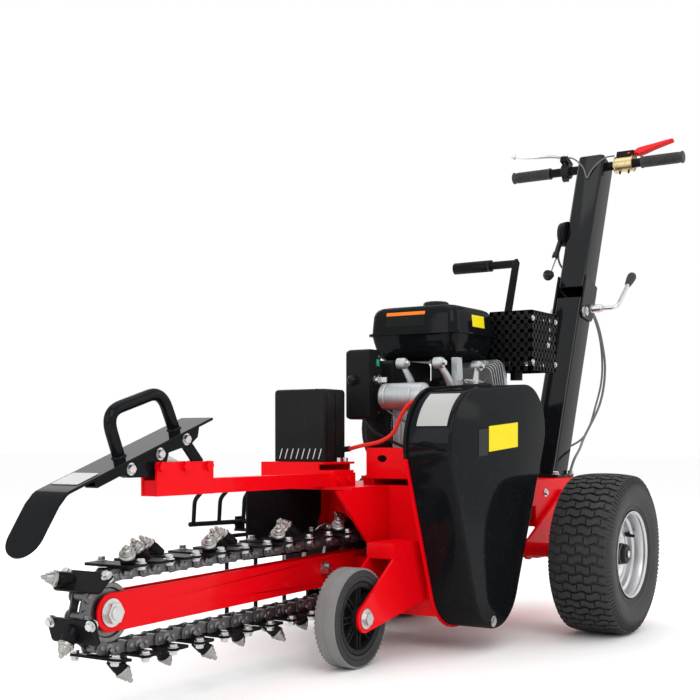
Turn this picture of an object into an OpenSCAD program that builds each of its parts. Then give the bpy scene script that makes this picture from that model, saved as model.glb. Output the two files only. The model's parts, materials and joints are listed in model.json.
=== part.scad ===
/* [Overall] */
// Distance between the centre planes of the two drive tyres, mm
track = 570; // [540:5:640]
// Outside diameter of the drive tyres, mm
tyre_d = 375; // [330:5:390]
// Width of a drive tyre, mm
tyre_w = 150; // [120:5:160]
// Diameter of the small support wheel beside the boom, mm
support_d = 199; // [150:1:210]
/* [Boom] */
// Distance from the head shaft to the nose roller, mm
boom_len = 867; // [650:1:1100]
// Height of the flat boom bar, mm
boom_h = 66; // [50:1:74]
// Radius of the chain pitch line around nose and head, mm
chain_r = 62; // [52:1:66]
// How far the teeth stand out from the chain pitch line, mm
tooth_reach = 60; // [44:1:62]
/* [Handle] */
// Length of the folding upper part of the steering column, mm
upper_len = 425; // [340:5:520]
// Width of the steering column tube, mm
column_w = 77; // [60:1:90]
// Half width of the handlebar, mm
bar_half = 257; // [200:1:320]
// Height of the depth lever above its pivot, mm
lever_h = 640; // [540:5:760]
/* [Covers] */
// Width of the belt guard, mm
guard_w = 98; // [80:1:110]
// Height of the battery cover, mm
battery_h = 160; // [120:5:200]
// Length of the fuel tank along the crankshaft, mm
tank_len = 236; // [190:1:250]
/* [Hidden] */
ox = 368;
oy = -95;
plate = 6;
axle_z = tyre_d / 2;
left_y = -80;
right_y = 146;
deck_z = 348;
deck_top = deck_z + plate;
head_x = -365;
head_z = 180;
boom_y = 125;
boom_tilt = 1.06;
nose_x = head_x - boom_len * cos(boom_tilt);
nose_z = head_z - boom_len * sin(boom_tilt);
crank_x = -210;
crank_z = 480;
guard_y1 = left_y - 2;
guard_y0 = guard_y1 - guard_w;
pivot_x = 215;
pivot_z = 300;
support_x = -692;
support_r = support_d / 2;
support_y = -20;
lean = 20.9;
col_x = 304;
col_y = -5;
lower_len = 515;
fold_s = 478;
fold_f = 24;
upper_s = 548;
col_d = 85;
bar_s = upper_s + upper_len - 18;
stations = 3 * round((2 * boom_len + 2 * PI * chain_r) / 71 / 3);
links = 2 * stations;
loop_len = 2 * boom_len + 2 * PI * chain_r;
link_pitch = loop_len / links;
fit = 0.05;
shaft_r = 15;
crank_r = 12.5;
pulley_r = 82;
drum_r = 62;
idler_r = 46;
idler_pin_r = 8;
idler_x = -455;
idler_z = 440;
pin_r = 6;
pivot_r = 16;
axle_r = 12;
beam_x = nose_x + 106;
beam_z = deck_top;
beam_w = 28;
clevis_x = [8, 72, 136];
clevis_up = 52;
blade_holes = [[-56, 49], [18, 74], [88, 100]];
beam_y = 106;

// Moves the machine frame (axle centre line at x = 0) to the shared origin.
module at_machine() translate([ox, oy, 0]) children();
// Extrudes an (x, z) outline along Y from y0.
module slab_y(y0, t) translate([0, y0 + t, 0]) rotate([90, 0, 0]) linear_extrude(t) children();
// Extrudes an (x, y) outline upwards from z0.
module slab_z(z0, t) translate([0, 0, z0]) linear_extrude(t) children();
// Extrudes a (y, z) outline along X from x0.
module slab_x(x0, t) translate([x0, 0, 0]) rotate([90, 0, 90]) linear_extrude(t) children();
// Round bar along Y.
module rod_y(x, z, y0, y1, r) translate([x, y0, z]) rotate([-90, 0, 0]) cylinder(h = y1 - y0, r = r,
  $fn = 48);
// Round tube along Y.
module tube_y(x, z, y0, y1, ro, ri) {
  difference() {
    rod_y(x, z, y0, y1, ro);
    rod_y(x, z, y0 - 1, y1 + 1, ri);
  }
}
// Box from two corners.
module box(a, b) translate(a) cube([b[0] - a[0], b[1] - a[1], b[2] - a[2]]);
// Straight bar between two points.
module bar(p, q, r, n = 8) {
  v = q - p;
  translate(p) rotate([0, acos(v[2] / norm(v)), atan2(v[1], v[0])]) cylinder(h = norm(v), r = r, $fn = n);
}
// Hexagon bolt head or nut on a Y axis.
module hex_y(x, z, y0, y1, r) translate([x, y0, z]) rotate([-90, 0, 0]) cylinder(h = y1 - y0, r = r, $fn = 6);
// Hexagon bolt head on a Z axis.
module hex_z(x, y, z0, h, r) translate([x, y, z0]) cylinder(h = h, r = r, $fn = 6);
// Places children in the column's own frame: z up the column, x towards the operator.
module on_column() translate([col_x, col_y, deck_top]) rotate([0, lean, 0]) children();
// Places children in the boom's frame: origin at the head shaft, boom along -X.
module on_boom() translate([head_x, boom_y, head_z]) rotate([0, -boom_tilt, 0]) children();
// Teardrop outline of the belt guard, grown by d.
module guard_outline(d) {
  hull() {
    translate([-456, 440]) circle(120 + d, $fn = 40);
    translate([-208, 478]) circle(100 + d, $fn = 40);
    translate([head_x + 4, 160]) circle(112 + d, $fn = 40);
  }
}

// Red welded frame.
module left_outline() {
  difference() {
    union() {
      guard_outline(5);
      polygon([[-447, deck_z], [362, deck_z], [362, 215], [300, 158], [75, 158], [60, 290], [-75, 290],
        [-240, 75], [-447, 75]]);
    }
    translate([head_x, head_z]) circle(26, $fn = 48);
    translate([crank_x, crank_z]) circle(45, $fn = 48);
    translate([pivot_x, pivot_z]) circle(pivot_r + fit, $fn = 48);
  }
}
module right_outline() {
  difference() {
    polygon([[-229, deck_z], [362, deck_z], [362, 215], [300, 158], [75, 158], [60, 290], [-75, 290],
      [-140, 158], [-229, 158]]);
    translate([pivot_x, pivot_z]) circle(pivot_r + fit, $fn = 48);
  }
}
module fork_outline() {
  difference() {
    union() {
      translate([support_x, support_r]) circle(28, $fn = 48);
      polygon([[support_x - 22, support_r + 17], [-583, 208], [-583, 240], [-447, 240], [-447, 112],
        [support_x + 6, support_r - 27]]);
    }
    translate([support_x, support_r]) circle(8, $fn = 48);
  }
}
module frame_plates() {
  color([0.8, 0.02, 0.03]) at_machine() {
    slab_y(left_y, plate) left_outline();
    slab_y(right_y - plate, plate) right_outline();
    difference() {
      slab_z(deck_z, plate) polygon([[-600, 40], [-600, 350], [-235, 350], [-215, 205], [-130, right_y],
        [362, right_y], [362, left_y], [-447, left_y], [-447, 40]]);
      box([150, 88, deck_z - 1], [282, 104, deck_top + 1]);
    }
    box([356, left_y + plate, 215], [362, right_y - plate, deck_z]);
    box([-447, left_y + plate, 75], [-441, 46, deck_z]);
    box([-240, left_y + plate, 75], [-234, 46, deck_z]);
    slab_y(40, plate) difference() {
      polygon([[-655, deck_z], [-535, 236], [-447, 150], [-441, 75], [-234, 75], [-234, deck_z]]);
      translate([head_x, head_z]) circle(26, $fn = 48);
    }
    box([-229, right_y, 150], [-223, 346, deck_z]);
    slab_y(344, plate) difference() {
      polygon([[-300, deck_z], [-223, deck_z], [-223, 150], [-330, 150], [-410, 165], [-410, 200], [-300,
        260]]);
      translate([head_x, head_z]) circle(20, $fn = 48);
    }
    slab_y(-54, plate) fork_outline();
    slab_y(6, plate) fork_outline();
    box([-583, -48, 208], [-577, 6, 240]);
    box([-577, -48, 234], [-447, 6, 240]);
    box([-110, left_y + plate, 260], [-104, right_y - plate, deck_z]);
    box([78, left_y + plate, 158], [298, right_y - plate, 164]);
  }
}
module rear_loop() {
  color([0.8, 0.02, 0.03]) at_machine() difference() {
    translate([362, 33, 236]) rotate([0, 8, 0]) {
      for (s = [-1, 1]) translate([-4, s * 74, 0]) rotate([0, 90, 0]) cylinder(h = 40, r = 11, $fn = 32);
      for (s = [-1, 1]) translate([36, s * 50, 0]) rotate([0, 0, s > 0 ? 0 : -90]) {
        rotate_extrude(angle = 90, $fn = 48) translate([24, 0]) circle(11, $fn = 32);
      }
      translate([60, -50, 0]) rotate([-90, 0, 0]) cylinder(h = 100, r = 11, $fn = 32);
    }
    box([340, -70, 200], [362, 136, 270]);
  }
}
module depth_quadrant() {
  color([0.82, 0.03, 0.04]) at_machine() for (y = [82, 104]) difference() {
    slab_y(y, plate) intersection() {
      translate([pivot_x, pivot_z]) difference() {
        circle(158, $fn = 90);
        circle(96, $fn = 90);
      }
      translate([58, deck_top]) square([330, 140]);
    }
    for (a = [28:13:145]) translate([pivot_x, y - 1, pivot_z]) rotate([0, -a, 0]) translate([136, 0, -6])
      cube([40, plate + 2, 12]);
  }
}
module engine_base() {
  color([0.74, 0.02, 0.03]) at_machine() {
    box([-440, -60, deck_top + 14], [-60, 117, deck_top + 20]);
    difference() {
      box([-446, -60, deck_top + 14], [-440, 100, 436]);
      translate([-450, 60, 412]) rotate([0, 90, 0]) scale([1, 1.6, 1]) cylinder(h = 20, r = 8, $fn = 12);
    }
    for (y = [-50, 90]) box([-430, y, deck_top], [-70, y + 28, deck_top + 14]);
    for (y = [-36, 104]) for (x = [-410, -90]) hex_z(x, y, deck_top + 20, 9, 10);
  }
}
module battery_tray() {
  color([0.8, 0.02, 0.03]) at_machine() {
    box([-565, 134, 400], [-440, 296, 405]);
    box([-565, 146, deck_top], [-560, 296, 400]);
    box([-445, 146, deck_top], [-440, 296, 400]);
    slab_y(296, 5) polygon([[-565, deck_top], [-565, 405], [-470, 405], [-400, deck_top]]);
  }
}
module battery() {
  color([0.12, 0.12, 0.13]) at_machine() {
    box([-528, 160, 405], [-455, 280, 500]);
    for (y = [180, 260]) translate([-492, y, 500]) cylinder(h = 12, r = 7, $fn = 32);
  }
}
module battery_cover() {
  color([0.05, 0.05, 0.055]) at_machine() difference() {
    box([-535, 152, 405], [-448, 288, 405 + battery_h]);
    box([-532, 155, 404], [-451, 285, 402 + battery_h]);
    for (y = [166:14:274]) box([-540, y, 412], [-520, y + 5, 430]);
    for (x = [-522:14:-464]) box([x, 140, 412], [x + 5, 170, 430]);
  }
}
module battery_bolts() {
  color([0.75, 0.75, 0.78]) at_machine() for (x = [-492, -468]) hex_z(x, 142, 405, 9, 7);
}

// Belt drive.
module belt_guard() {
  color([0.03, 0.03, 0.035]) at_machine() difference() {
    slab_y(guard_y0, guard_w + 2) guard_outline(0);
    slab_y(guard_y0 + 3, guard_w) guard_outline(-3);
  }
}
module guard_bolts() {
  color([0.78, 0.78, 0.8]) at_machine() {
    hex_y(head_x - 20, 66, guard_y0 - 6, guard_y0, 8);
  }
}
module vee_pulley(x, z, y0, y1, r, bore) {
  translate([x, y0, z]) rotate([-90, 0, 0]) rotate_extrude($fn = 64) polygon([[bore, 0], [r, 0], [r, 4],
    [r - 11, 10], [r - 11, 16], [r, 22], [r, y1 - y0 - 22], [r - 11, y1 - y0 - 16], [r - 11, y1 - y0 - 10],
    [r, y1 - y0 - 4], [r, y1 - y0], [bore, y1 - y0]]);
}
module driven_pulley() {
  color([0.32, 0.33, 0.35]) at_machine() vee_pulley(head_x, head_z, guard_y0 + 20, guard_y0 + 72, pulley_r,
    shaft_r);
}
module clutch_drum() {
  color([0.4, 0.41, 0.43]) at_machine() vee_pulley(crank_x, crank_z, guard_y0 + 20, guard_y0 + 72, drum_r,
    crank_r + fit);
}
module belt_idler() {
  color([0.28, 0.28, 0.3]) at_machine() vee_pulley(idler_x, idler_z, guard_y0 + 20, guard_y0 + 72, idler_r,
    idler_pin_r + fit);
}
module idler_pin() {
  color([0.7, 0.7, 0.72]) at_machine() {
    rod_y(idler_x, idler_z, guard_y0 + 10, left_y, idler_pin_r);
    rod_y(idler_x, idler_z, guard_y0 + 74, left_y, 13);
    hex_y(idler_x, idler_z, guard_y0 + 8, guard_y0 + 18, 13);
  }
}
module belt_loop(d) {
  hull() {
    translate([crank_x, crank_z]) circle(drum_r - 1 - d, $fn = 40);
    translate([head_x, head_z]) circle(pulley_r - 1 - d, $fn = 40);
    translate([idler_x, idler_z]) circle(idler_r - 1 - d, $fn = 40);
  }
}
module drive_belts() {
  color([0.07, 0.07, 0.07]) at_machine() {
    for (y = [29.4, 55.4]) slab_y(guard_y0 + y, 7.2) difference() {
      belt_loop(0);
      belt_loop(8);
    }
  }
}
module head_shaft() {
  color([0.5, 0.51, 0.53]) at_machine() {
    rod_y(head_x, head_z, guard_y0 + 14, 372, shaft_r);
    hex_y(head_x, head_z, guard_y0 + 6, guard_y0 + 14, 17);
  }
}
module head_bearings() {
  color([0.42, 0.44, 0.45]) at_machine() {
    for (y = [left_y + plate, 46]) difference() {
      union() {
        rod_y(head_x, head_z, y, y + 12, 40);
        rod_y(head_x, head_z, y - plate, y, 26);
      }
      rod_y(head_x, head_z, y - plate - 1, y + 13, shaft_r + fit);
    }
    difference() {
      union() {
        rod_y(head_x, head_z, 350, 362, 32);
        rod_y(head_x, head_z, 344, 350, 20);
      }
      rod_y(head_x, head_z, 343, 363, shaft_r + fit);
    }
  }
}
module head_sprocket() {
  color([0.36, 0.36, 0.37]) at_machine() on_boom() difference() {
    union() {
      rod_y(0, 0, -7, 7, chain_r - 16);
      rod_y(0, 0, -16, 16, 28);
      for (a = [0:30:330]) rotate([0, a, 0]) translate([chain_r - 19, -7, -5]) cube([8, 14, 10]);
    }
    rod_y(0, 0, -17, 17, shaft_r);
  }
}
module spoil_auger() {
  color([0.3, 0.3, 0.31]) at_machine() {
    tube_y(head_x, head_z, 215, 335, 26, shaft_r);
    for (i = [0:3]) translate([head_x, 226 + i * 28, head_z]) rotate([0, 0, i % 2 == 0 ? 9 : -9])
      rotate([-90, 0, 0]) difference() {
      cylinder(h = 6, r = 78, $fn = 48);
      translate([0, 0, -1]) cylinder(h = 8, r = 25, $fn = 48);
      translate([0, i % 2 == 0 ? 0 : -90, -1]) cube([90, 90, 8]);
    }
  }
}

// Boom, chain and teeth.
module boom_bar() {
  color([0.85, 0.02, 0.03]) at_machine() on_boom() difference() {
    union() {
      for (y = [-16, 11]) {
        translate([-boom_len, y, -boom_h / 2]) cube([boom_len - 66, 5, boom_h]);
        rod_y(-boom_len, 0, y, y + 5, boom_h / 2);
      }
      translate([-boom_len + 80, -11, -boom_h / 2 + 10]) cube([boom_len - 146, 22, boom_h - 20]);
    }
    rod_y(-boom_len, 0, -20, 20, 12);
  }
}
module boom_mount() {
  color([0.6, 0.02, 0.03]) at_machine() {
    on_boom() translate([-110, -79, -20]) cube([40, 63, 40]);
  }
}
module nose_bolt() {
  color([0.75, 0.76, 0.78]) at_machine() on_boom() {
    rod_y(-boom_len, 0, -30, 26, 12);
    hex_y(-boom_len, 0, -28, -16, 19);
    hex_y(-boom_len, 0, 16, 26, 19);
    bar([-238, -16, 2], [-238, -34, 2], 9, 6);
    bar([-222, -16, 12], [-222, -24, 12], 5, 6);
  }
}
module nose_roller() {
  color([0.38, 0.38, 0.4]) at_machine() on_boom() tube_y(-boom_len, 0, -10, 10, chain_r - 10.5, 12.05);
}
// Position of chain pin i on the loop, in the boom's (x, z) plane.
function wrap(s) = s - loop_len * floor(s / loop_len);
function loop_at(s) =
  s < boom_len ? [-s, chain_r] :
  s < boom_len + PI * chain_r ? [-boom_len - chain_r * sin((s - boom_len) / chain_r * 180 / PI),
    chain_r * cos((s - boom_len) / chain_r * 180 / PI)] :
  s < 2 * boom_len + PI * chain_r ? [s - 2 * boom_len - PI * chain_r, -chain_r] :
  [chain_r * sin((s - 2 * boom_len - PI * chain_r) / chain_r * 180 / PI),
    -chain_r * cos((s - 2 * boom_len - PI * chain_r) / chain_r * 180 / PI)];
function pin_at(i) = loop_at(wrap((i + 0.25) * link_pitch));
module link_plates(i, y, t, h) {
  p = pin_at(i);
  q = pin_at(i + 1);
  for (s = [-1, 1]) translate([p[0], s > 0 ? y : -y - t, p[1]]) rotate([0, -atan2(q[1] - p[1],
    q[0] - p[0]), 0]) translate([-h * 0.7, 0, -h]) cube([norm(q - p) + h * 1.4, t, 2 * h]);
}
module chain_inner() {
  color([0.3, 0.3, 0.3]) at_machine() on_boom() {
    for (i = [0:links - 1]) rod_y(pin_at(i)[0], pin_at(i)[1], -11.5, 11.5, 8.5);
    for (i = [0:2:links - 1]) link_plates(i, 11.5, 3.5, 10.5);
  }
}
module chain_outer() {
  color([0.25, 0.25, 0.26]) at_machine() on_boom() {
    for (i = [1:2:links - 1]) link_plates(i, 15.2, 3.8, 11.5);
    for (i = [0:links - 1]) for (s = [-1, 1]) rod_y(pin_at(i)[0], pin_at(i)[1], s > 0 ? 15 : -21,
      s > 0 ? 21 : -15, 5);
  }
}
// Places children on station k: x along the chain, z outwards.
module at_station(k) {
  p = pin_at(2 * k + 1);
  q = pin_at(2 * k + 2);
  translate([(p[0] + q[0]) / 2, 0, (p[1] + q[1]) / 2]) rotate([0, -atan2(q[1] - p[1], q[0] - p[0]), 0])
    rotate([0, 0, 180]) children();
}
side = [1, 0, -1];
module tooth_plates() {
  color([0.04, 0.04, 0.045]) at_machine() on_boom() for (k = [0:stations - 1]) at_station(k) rotate([180,
    0, 0]) {
    translate([-22, -54, 13]) cube([44, 108, 5]);
    translate([-13, -21, 11.5]) cube([26, 42, 1.5]);
    translate([0, side[k % 3] * 30, 18]) rotate([side[k % 3] * -26, -38, 0]) cylinder(h = tooth_reach - 38,
      r = 12.5, $fn = 10);
  }
}
module bullet_teeth() {
  color([0.62, 0.62, 0.6]) at_machine() on_boom() for (k = [0:stations - 1]) at_station(k) rotate([180, 0,
    0]) {
    translate([0, side[k % 3] * 30, 18]) rotate([side[k % 3] * -26, -38, 0]) translate([0, 0,
      tooth_reach - 38]) {
      cylinder(h = 7, r = 14, $fn = 32);
      translate([0, 0, 7]) cylinder(h = 11, r1 = 11, r2 = 7, $fn = 32);
      translate([0, 0, 18]) cylinder(h = 8, r1 = 5, r2 = 3, $fn = 32);
    }
    for (y = [-46, 46]) hex_z(14, y, 18, 6, 7);
  }
}
module beam_bar() {
  color([0.86, 0.02, 0.03]) at_machine() {
    box([beam_x, beam_y, beam_z], [-480, beam_y + beam_w, beam_z + beam_w]);
    for (y = [beam_y - 5, beam_y + beam_w]) slab_y(y, 5) difference() {
      translate([beam_x - 2, beam_z]) square([154, 60]);
      for (x = clevis_x) translate([beam_x + x, beam_z + clevis_up]) circle(pin_r, $fn = 32);
    }
  }
}
module beam_clamp() {
  color([0.8, 0.02, 0.03]) at_machine() {
    difference() {
      box([-580, beam_y - 8, deck_top], [-500, beam_y + beam_w + 8, beam_z + beam_w + 6]);
      box([-581, beam_y, deck_top - 1], [-499, beam_y + beam_w, beam_z + beam_w]);
    }
    hex_y(-520, beam_z + 14, beam_y - 15, beam_y - 8, 9);
    hex_y(-560, beam_z + 14, beam_y - 15, beam_y - 8, 9);
  }
}
module deflector_plate() {
  color([0.09, 0.09, 0.1]) at_machine() slab_y(204, 4) polygon([[-740, 206], [-740, deck_z], [-470,
    deck_z], [-470, 290], [-520, 206]]);
}

// Crumber.
module crumber_blade() {
  color([0.03, 0.03, 0.032]) at_machine() translate([beam_x, 0, beam_z]) {
    difference() {
      for (y = [112, 123]) slab_y(y, 5) union() {
        polygon([[-90, 57], [128, 132], [122, 104], [92, 86], [40, 76], [26, 34], [-6, 34], [-60, 34],
          [-80, 40]]);
        translate([88, 100]) circle(14, $fn = 40);
      }
      for (p = blade_holes) rod_y(p[0], p[1], 100, 140, pin_r);
      rod_y(clevis_x[0], clevis_up, 100, 140, pin_r + fit);
    }
    slab_y(88, 75) polygon([[134, 140], [-222, 17.5], [-230, 14], [-238, 6], [-262, -29], [-257.6, -32],
      [-234, 1.5], [-227, 9], [-220, 12], [136, 134.5]]);
    translate([-278, 125.5, -54]) rotate([0, 123, 0]) translate([0, 0, -2.6]) cylinder(h = 5.2, r = 37.5,
      $fn = 64);
    translate([-144, 111, 0]) rotate([0, -19, 0]) translate([14, 0, 16]) cube([64, 29, 20.5]);
  }
}
module crumber_handle() {
  color([0.05, 0.05, 0.055]) at_machine() translate([beam_x - 70, 125.5, beam_z + 67]) rotate([0, -19, 0]) {
    for (x = [0, 149]) translate([x, 0, 2.74]) cylinder(h = 50, r = 11, $fn = 32);
    for (x = [26, 123]) translate([x, 0, 52.5]) rotate([90, 0, 0]) rotate([0, 0, x > 100 ? 0 : 90]) {
      rotate_extrude(angle = 90, $fn = 48) translate([26, 0]) circle(11, $fn = 32);
    }
    translate([26, 0, 78.5]) rotate([0, 90, 0]) cylinder(h = 97, r = 11, $fn = 32);
  }
}
module arm(p, q, w, n, y, t) {
  v = q - p;
  for (c = [p, q]) rod_y(c[0], c[1], y, y + t, w / 2);
  translate([p[0], y, p[1]]) rotate([0, -atan2(v[1], v[0]), 0]) translate([0, 0, -w * n / 2])
    cube([norm(v), t, w * n]);
}
// A flat bar bolted to the blade at q, with an open slot over the clevis bolt at p.
module hook_bar(p, q, w) {
  v = q - p;
  difference() {
    translate([p[0], 117.5, p[1]]) rotate([0, -atan2(v[1], v[0]), 0]) slab_y(0, 5) {
      polygon([[-8, -w / 2], [norm(v) + 4, -w / 2], [norm(v) + 11, -5], [norm(v) + 11, 5], [norm(v) + 4,
        w / 2], [-8, w / 2], [-13, 5], [-13, -5]]);
    }
    rod_y(q[0], q[1], 110, 130, pin_r + fit);
    box([p[0] - pin_r - 1.8, 110, p[1] - 30], [p[0] + pin_r + 1.8, 130, p[1] + pin_r + 0.3]);
  }
}
module crumber_links() {
  at_machine() translate([beam_x, 0, beam_z]) {
    color([0.04, 0.04, 0.045]) hook_bar([clevis_x[2], clevis_up], blade_holes[2], 24);
    color([0.7, 0.7, 0.72]) hook_bar([clevis_x[1], clevis_up], blade_holes[1], 20);
    color([0.76, 0.77, 0.79]) for (p = blade_holes) {
      rod_y(p[0], p[1], 112, 128, pin_r);
      hex_y(p[0], p[1], 105, 112, 10);
      hex_y(p[0], p[1], 128, 135, 10);
    }
  }
}
module clevis_bolts() {
  color([0.76, 0.77, 0.79]) at_machine() translate([beam_x, 0, beam_z]) for (x = clevis_x) {
    rod_y(x, clevis_up, 101, 139, pin_r);
    hex_y(x, clevis_up, 94, 101, 10);
    hex_y(x, clevis_up, 139, 146, 10);
  }
}

// Spoil guards.
module path(pts, r) {
  for (i = [0:len(pts) - 2]) bar(pts[i], pts[i + 1] + (pts[i + 1] - pts[i]) / norm(pts[i + 1] - pts[i])
    * r * 0.8, r);
}
module upper_cage() {
  color([0.02, 0.02, 0.022]) at_machine() {
    for (x = [-335, -430, -525]) path([[x, 350, 351], [x, 495, 340], [x, 526, 312], [x, 530, 258]], 5);
    path([[-538, 530, 255], [-322, 530, 251]], 6);
    path([[-262, 356, 246], [-300, 440, 247], [-345, 524, 251]], 5);
    box([-275, 350, 236], [-256, 357, 256]);
    for (x = [-335, -430, -525]) box([x - 9, 350, 342], [x + 9, 354, 360]);
  }
}
module cage_rings() {
  color([0.02, 0.02, 0.022]) at_machine() {
    for (z = [24, 122, 222]) path([[-290, 358, z], [-284, 444, z], [-336, 497, z], [-444, 500, z]], 5);
    for (p = [[-290, 358], [-284, 444], [-336, 497], [-440, 500]]) bar([p[0], p[1], 19], [p[0], p[1], 227],
      5);
    box([-300, 350, 170], [-280, 358, 222]);
  }
}
module cage_clamp() {
  color([0.03, 0.03, 0.03]) at_machine() {
    box([-352, 488, 227.5], [-318, 546, 234]);
    box([-352, 538, 234], [-318, 544, 264]);
    for (x = [-346, -324]) hex_y(x, 249, 544, 550, 7);
  }
}
module skirt_plates() {
  color([0.03, 0.03, 0.03]) at_machine() {
    box([-249, 152, 40], [-243, 343, 230]);
    box([-330, 338, 40], [-249, 344, 150]);
    for (y = [190, 300]) translate([-249, y, 190]) rotate([0, -90, 0]) cylinder(h = 5, r = 9, $fn = 6);
    for (y = [190, 300]) translate([-243, y, 190]) rotate([0, 90, 0]) cylinder(h = 14, r = 5, $fn = 24);
  }
}

// Wheels.
module tyre(y) {
  k = tyre_w / 150;
  r = tyre_d / 2;
  color([0.04, 0.04, 0.04]) at_machine() translate([0, y, axle_z]) rotate([-90, 0, 0])
    rotate_extrude($fn = 96)
    polygon([[96, -52 * k], [112, -66 * k], [r * 0.8, -75 * k], [r - 12, -70 * k], [r, -52 * k], [r,
      52 * k], [r - 12, 70 * k], [r * 0.8, 75 * k], [112, 66 * k], [96, 52 * k]]);
}
module rim(y, s) {
  color([0.62, 0.64, 0.66]) at_machine() translate([0, y, axle_z]) rotate([-90 * s, 0, 0])
    rotate_extrude($fn = 96)
    polygon([[axle_r + fit, -44], [24, -44], [24, 8], [62, 14], [84, 4], [88, -60], [100, -66], [100, -62],
      [96, -56], [96, 56], [100, 62], [100, 66], [88, 60], [86, 18], [62, 22], [24, 16], [24, 44],
      [axle_r + fit, 44]]);
}
module hub_cap(y, s) {
  color([0.03, 0.03, 0.03]) at_machine() translate([0, y, axle_z]) rotate([-90 * s, 0, 0]) {
    translate([0, 0, 44]) cylinder(h = 10, r = 23, $fn = 48);
    translate([0, 0, 54]) cylinder(h = 4, r = 9, $fn = 6);
  }
}
module tyre_left() tyre(-track / 2);
module tyre_right() tyre(track / 2);
module rim_left() {
  rim(-track / 2, -1);
  hub_cap(-track / 2, -1);
}
module rim_right() {
  rim(track / 2, 1);
  hub_cap(track / 2, 1);
}
module axle_carriage() {
  color([0.7, 0.02, 0.03]) at_machine() {
    rod_y(pivot_x, pivot_z, -92, 158, pivot_r);
    rod_y(0, axle_z, -track / 2 + 62, track / 2 - 62, 17);
    for (s = [-1, 1]) rod_y(0, axle_z, s > 0 ? track / 2 - 62 : -track / 2 - 40,
      s > 0 ? track / 2 + 40 : -track / 2 + 62, axle_r);
    for (s = [-1, 1]) rod_y(0, axle_z, s > 0 ? track / 2 - 62 : -track / 2 + 46,
      s > 0 ? track / 2 - 46 : -track / 2 + 62, 20);
    for (y = [-92, 150]) arm([pivot_x, pivot_z], [0, axle_z], 52, 0.86, y, 8);
  }
}
module depth_bar() {
  color([0.03, 0.03, 0.032]) at_machine() {
    difference() {
      union() {
        rod_y(pivot_x, pivot_z, 84, 108, 26);
        slab_y(92, 8) polygon([[198, 300], [188, 434], [188, 618], [304, pivot_z + lever_h - 6], [322,
          pivot_z + lever_h + 10], [336, pivot_z + lever_h], [220, 612], [220, 434], [232, 300]]);
      }
      rod_y(pivot_x, pivot_z, 80, 112, pivot_r);
    }
    rod_y(320, pivot_z + lever_h - 4, 96, 282, 11);
  }
}
module depth_grip() {
  color([0.05, 0.05, 0.05]) at_machine() tube_y(320, pivot_z + lever_h - 4, 170, 284, 16, 11);
}
module support_tyre() {
  color([0.3, 0.31, 0.31]) at_machine() tube_y(support_x, support_r, support_y - 24, support_y + 24,
    support_r, support_r - 26);
}
module support_hub() {
  color([0.04, 0.04, 0.045]) at_machine() translate([support_x, support_y, support_r]) rotate([-90, 0, 0]) {
    difference() {
      union() {
        translate([0, 0, -22]) cylinder(h = 44, r = 24, $fn = 48);
        translate([0, 0, -4]) cylinder(h = 8, r = support_r - 34, $fn = 64);
      }
      translate([0, 0, -30]) cylinder(h = 60, r = 8.05, $fn = 48);
    }
    difference() {
      translate([0, 0, -22]) cylinder(h = 44, r = support_r - 26, $fn = 96);
      translate([0, 0, -23]) cylinder(h = 46, r = support_r - 38, $fn = 96);
    }
    for (a = [0:45:315]) rotate([0, 0, a]) translate([23, -2.5, -18]) cube([support_r - 60, 5, 36]);
  }
}
module support_axle() {
  color([0.75, 0.76, 0.78]) at_machine() {
    rod_y(support_x, support_r, -54, 12, 8);
    hex_y(support_x, support_r, -64, -54, 13);
    hex_y(support_x, support_r, 12, 22, 13);
  }
}

// Steering column.
module column_lower() {
  color([0.02, 0.02, 0.024]) at_machine() {
    on_column() difference() {
      translate([-col_d / 2, -column_w / 2, -18]) cube([col_d, column_w, lower_len + 18]);
      translate([-col_d / 2 + 4, -column_w / 2 + 4, 20]) cube([col_d - 8, column_w - 8, lower_len]);
      rod_y(-fold_f, fold_s, -60, 60, 8);
      translate([-100, -60, -60]) rotate([0, -lean, 0]) cube([300, 120, 60]);
      rotate([0, -lean, 0]) translate([-200, -100, -100]) cube([400, 200, 100]);
    }
    difference() {
      box([col_x - 62, col_y - column_w / 2 - 16, deck_top], [col_x + 56, col_y + column_w / 2 + 16,
        deck_top + 8]);
      on_column() translate([-col_d / 2, -column_w / 2, -60]) cube([col_d, column_w, 120]);
    }
    for (x = [-52, 46]) for (s = [-1, 1]) hex_z(col_x + x, col_y + s * (column_w / 2 + 8), deck_top + 8, 8,
      7);
  }
}
module column_upper() {
  color([0.02, 0.02, 0.024]) at_machine() on_column() {
    difference() {
      translate([-col_d / 2, -column_w / 2, upper_s]) cube([col_d, column_w, upper_len]);
      translate([-col_d / 2 + 4, -column_w / 2 + 4, upper_s - 1]) cube([col_d - 8, column_w - 8,
        upper_len - 3]);
      rod_y(0, bar_s, -60, 60, 12.5);
    }
    for (s = [-1, 1]) difference() {
      union() {
        translate([-col_d / 2, s > 0 ? column_w / 2 + 0.5 : -column_w / 2 - 5.5, fold_s - 4]) cube([col_d,
          5, upper_s - fold_s + 40]);
        rod_y(-fold_f, fold_s, s > 0 ? column_w / 2 + 0.5 : -column_w / 2 - 5.5,
          s > 0 ? column_w / 2 + 5.5 : -column_w / 2 - 0.5, 18);
      }
      rod_y(-fold_f, fold_s, -60, 60, 8.05);
    }
    for (s = [-1, 1]) translate([-col_d / 2 + 6, s > 0 ? column_w / 2 - 0.5 : -column_w / 2 - 1,
      upper_s + 4]) cube([col_d - 12, 1.5, 30]);
  }
}
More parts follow.
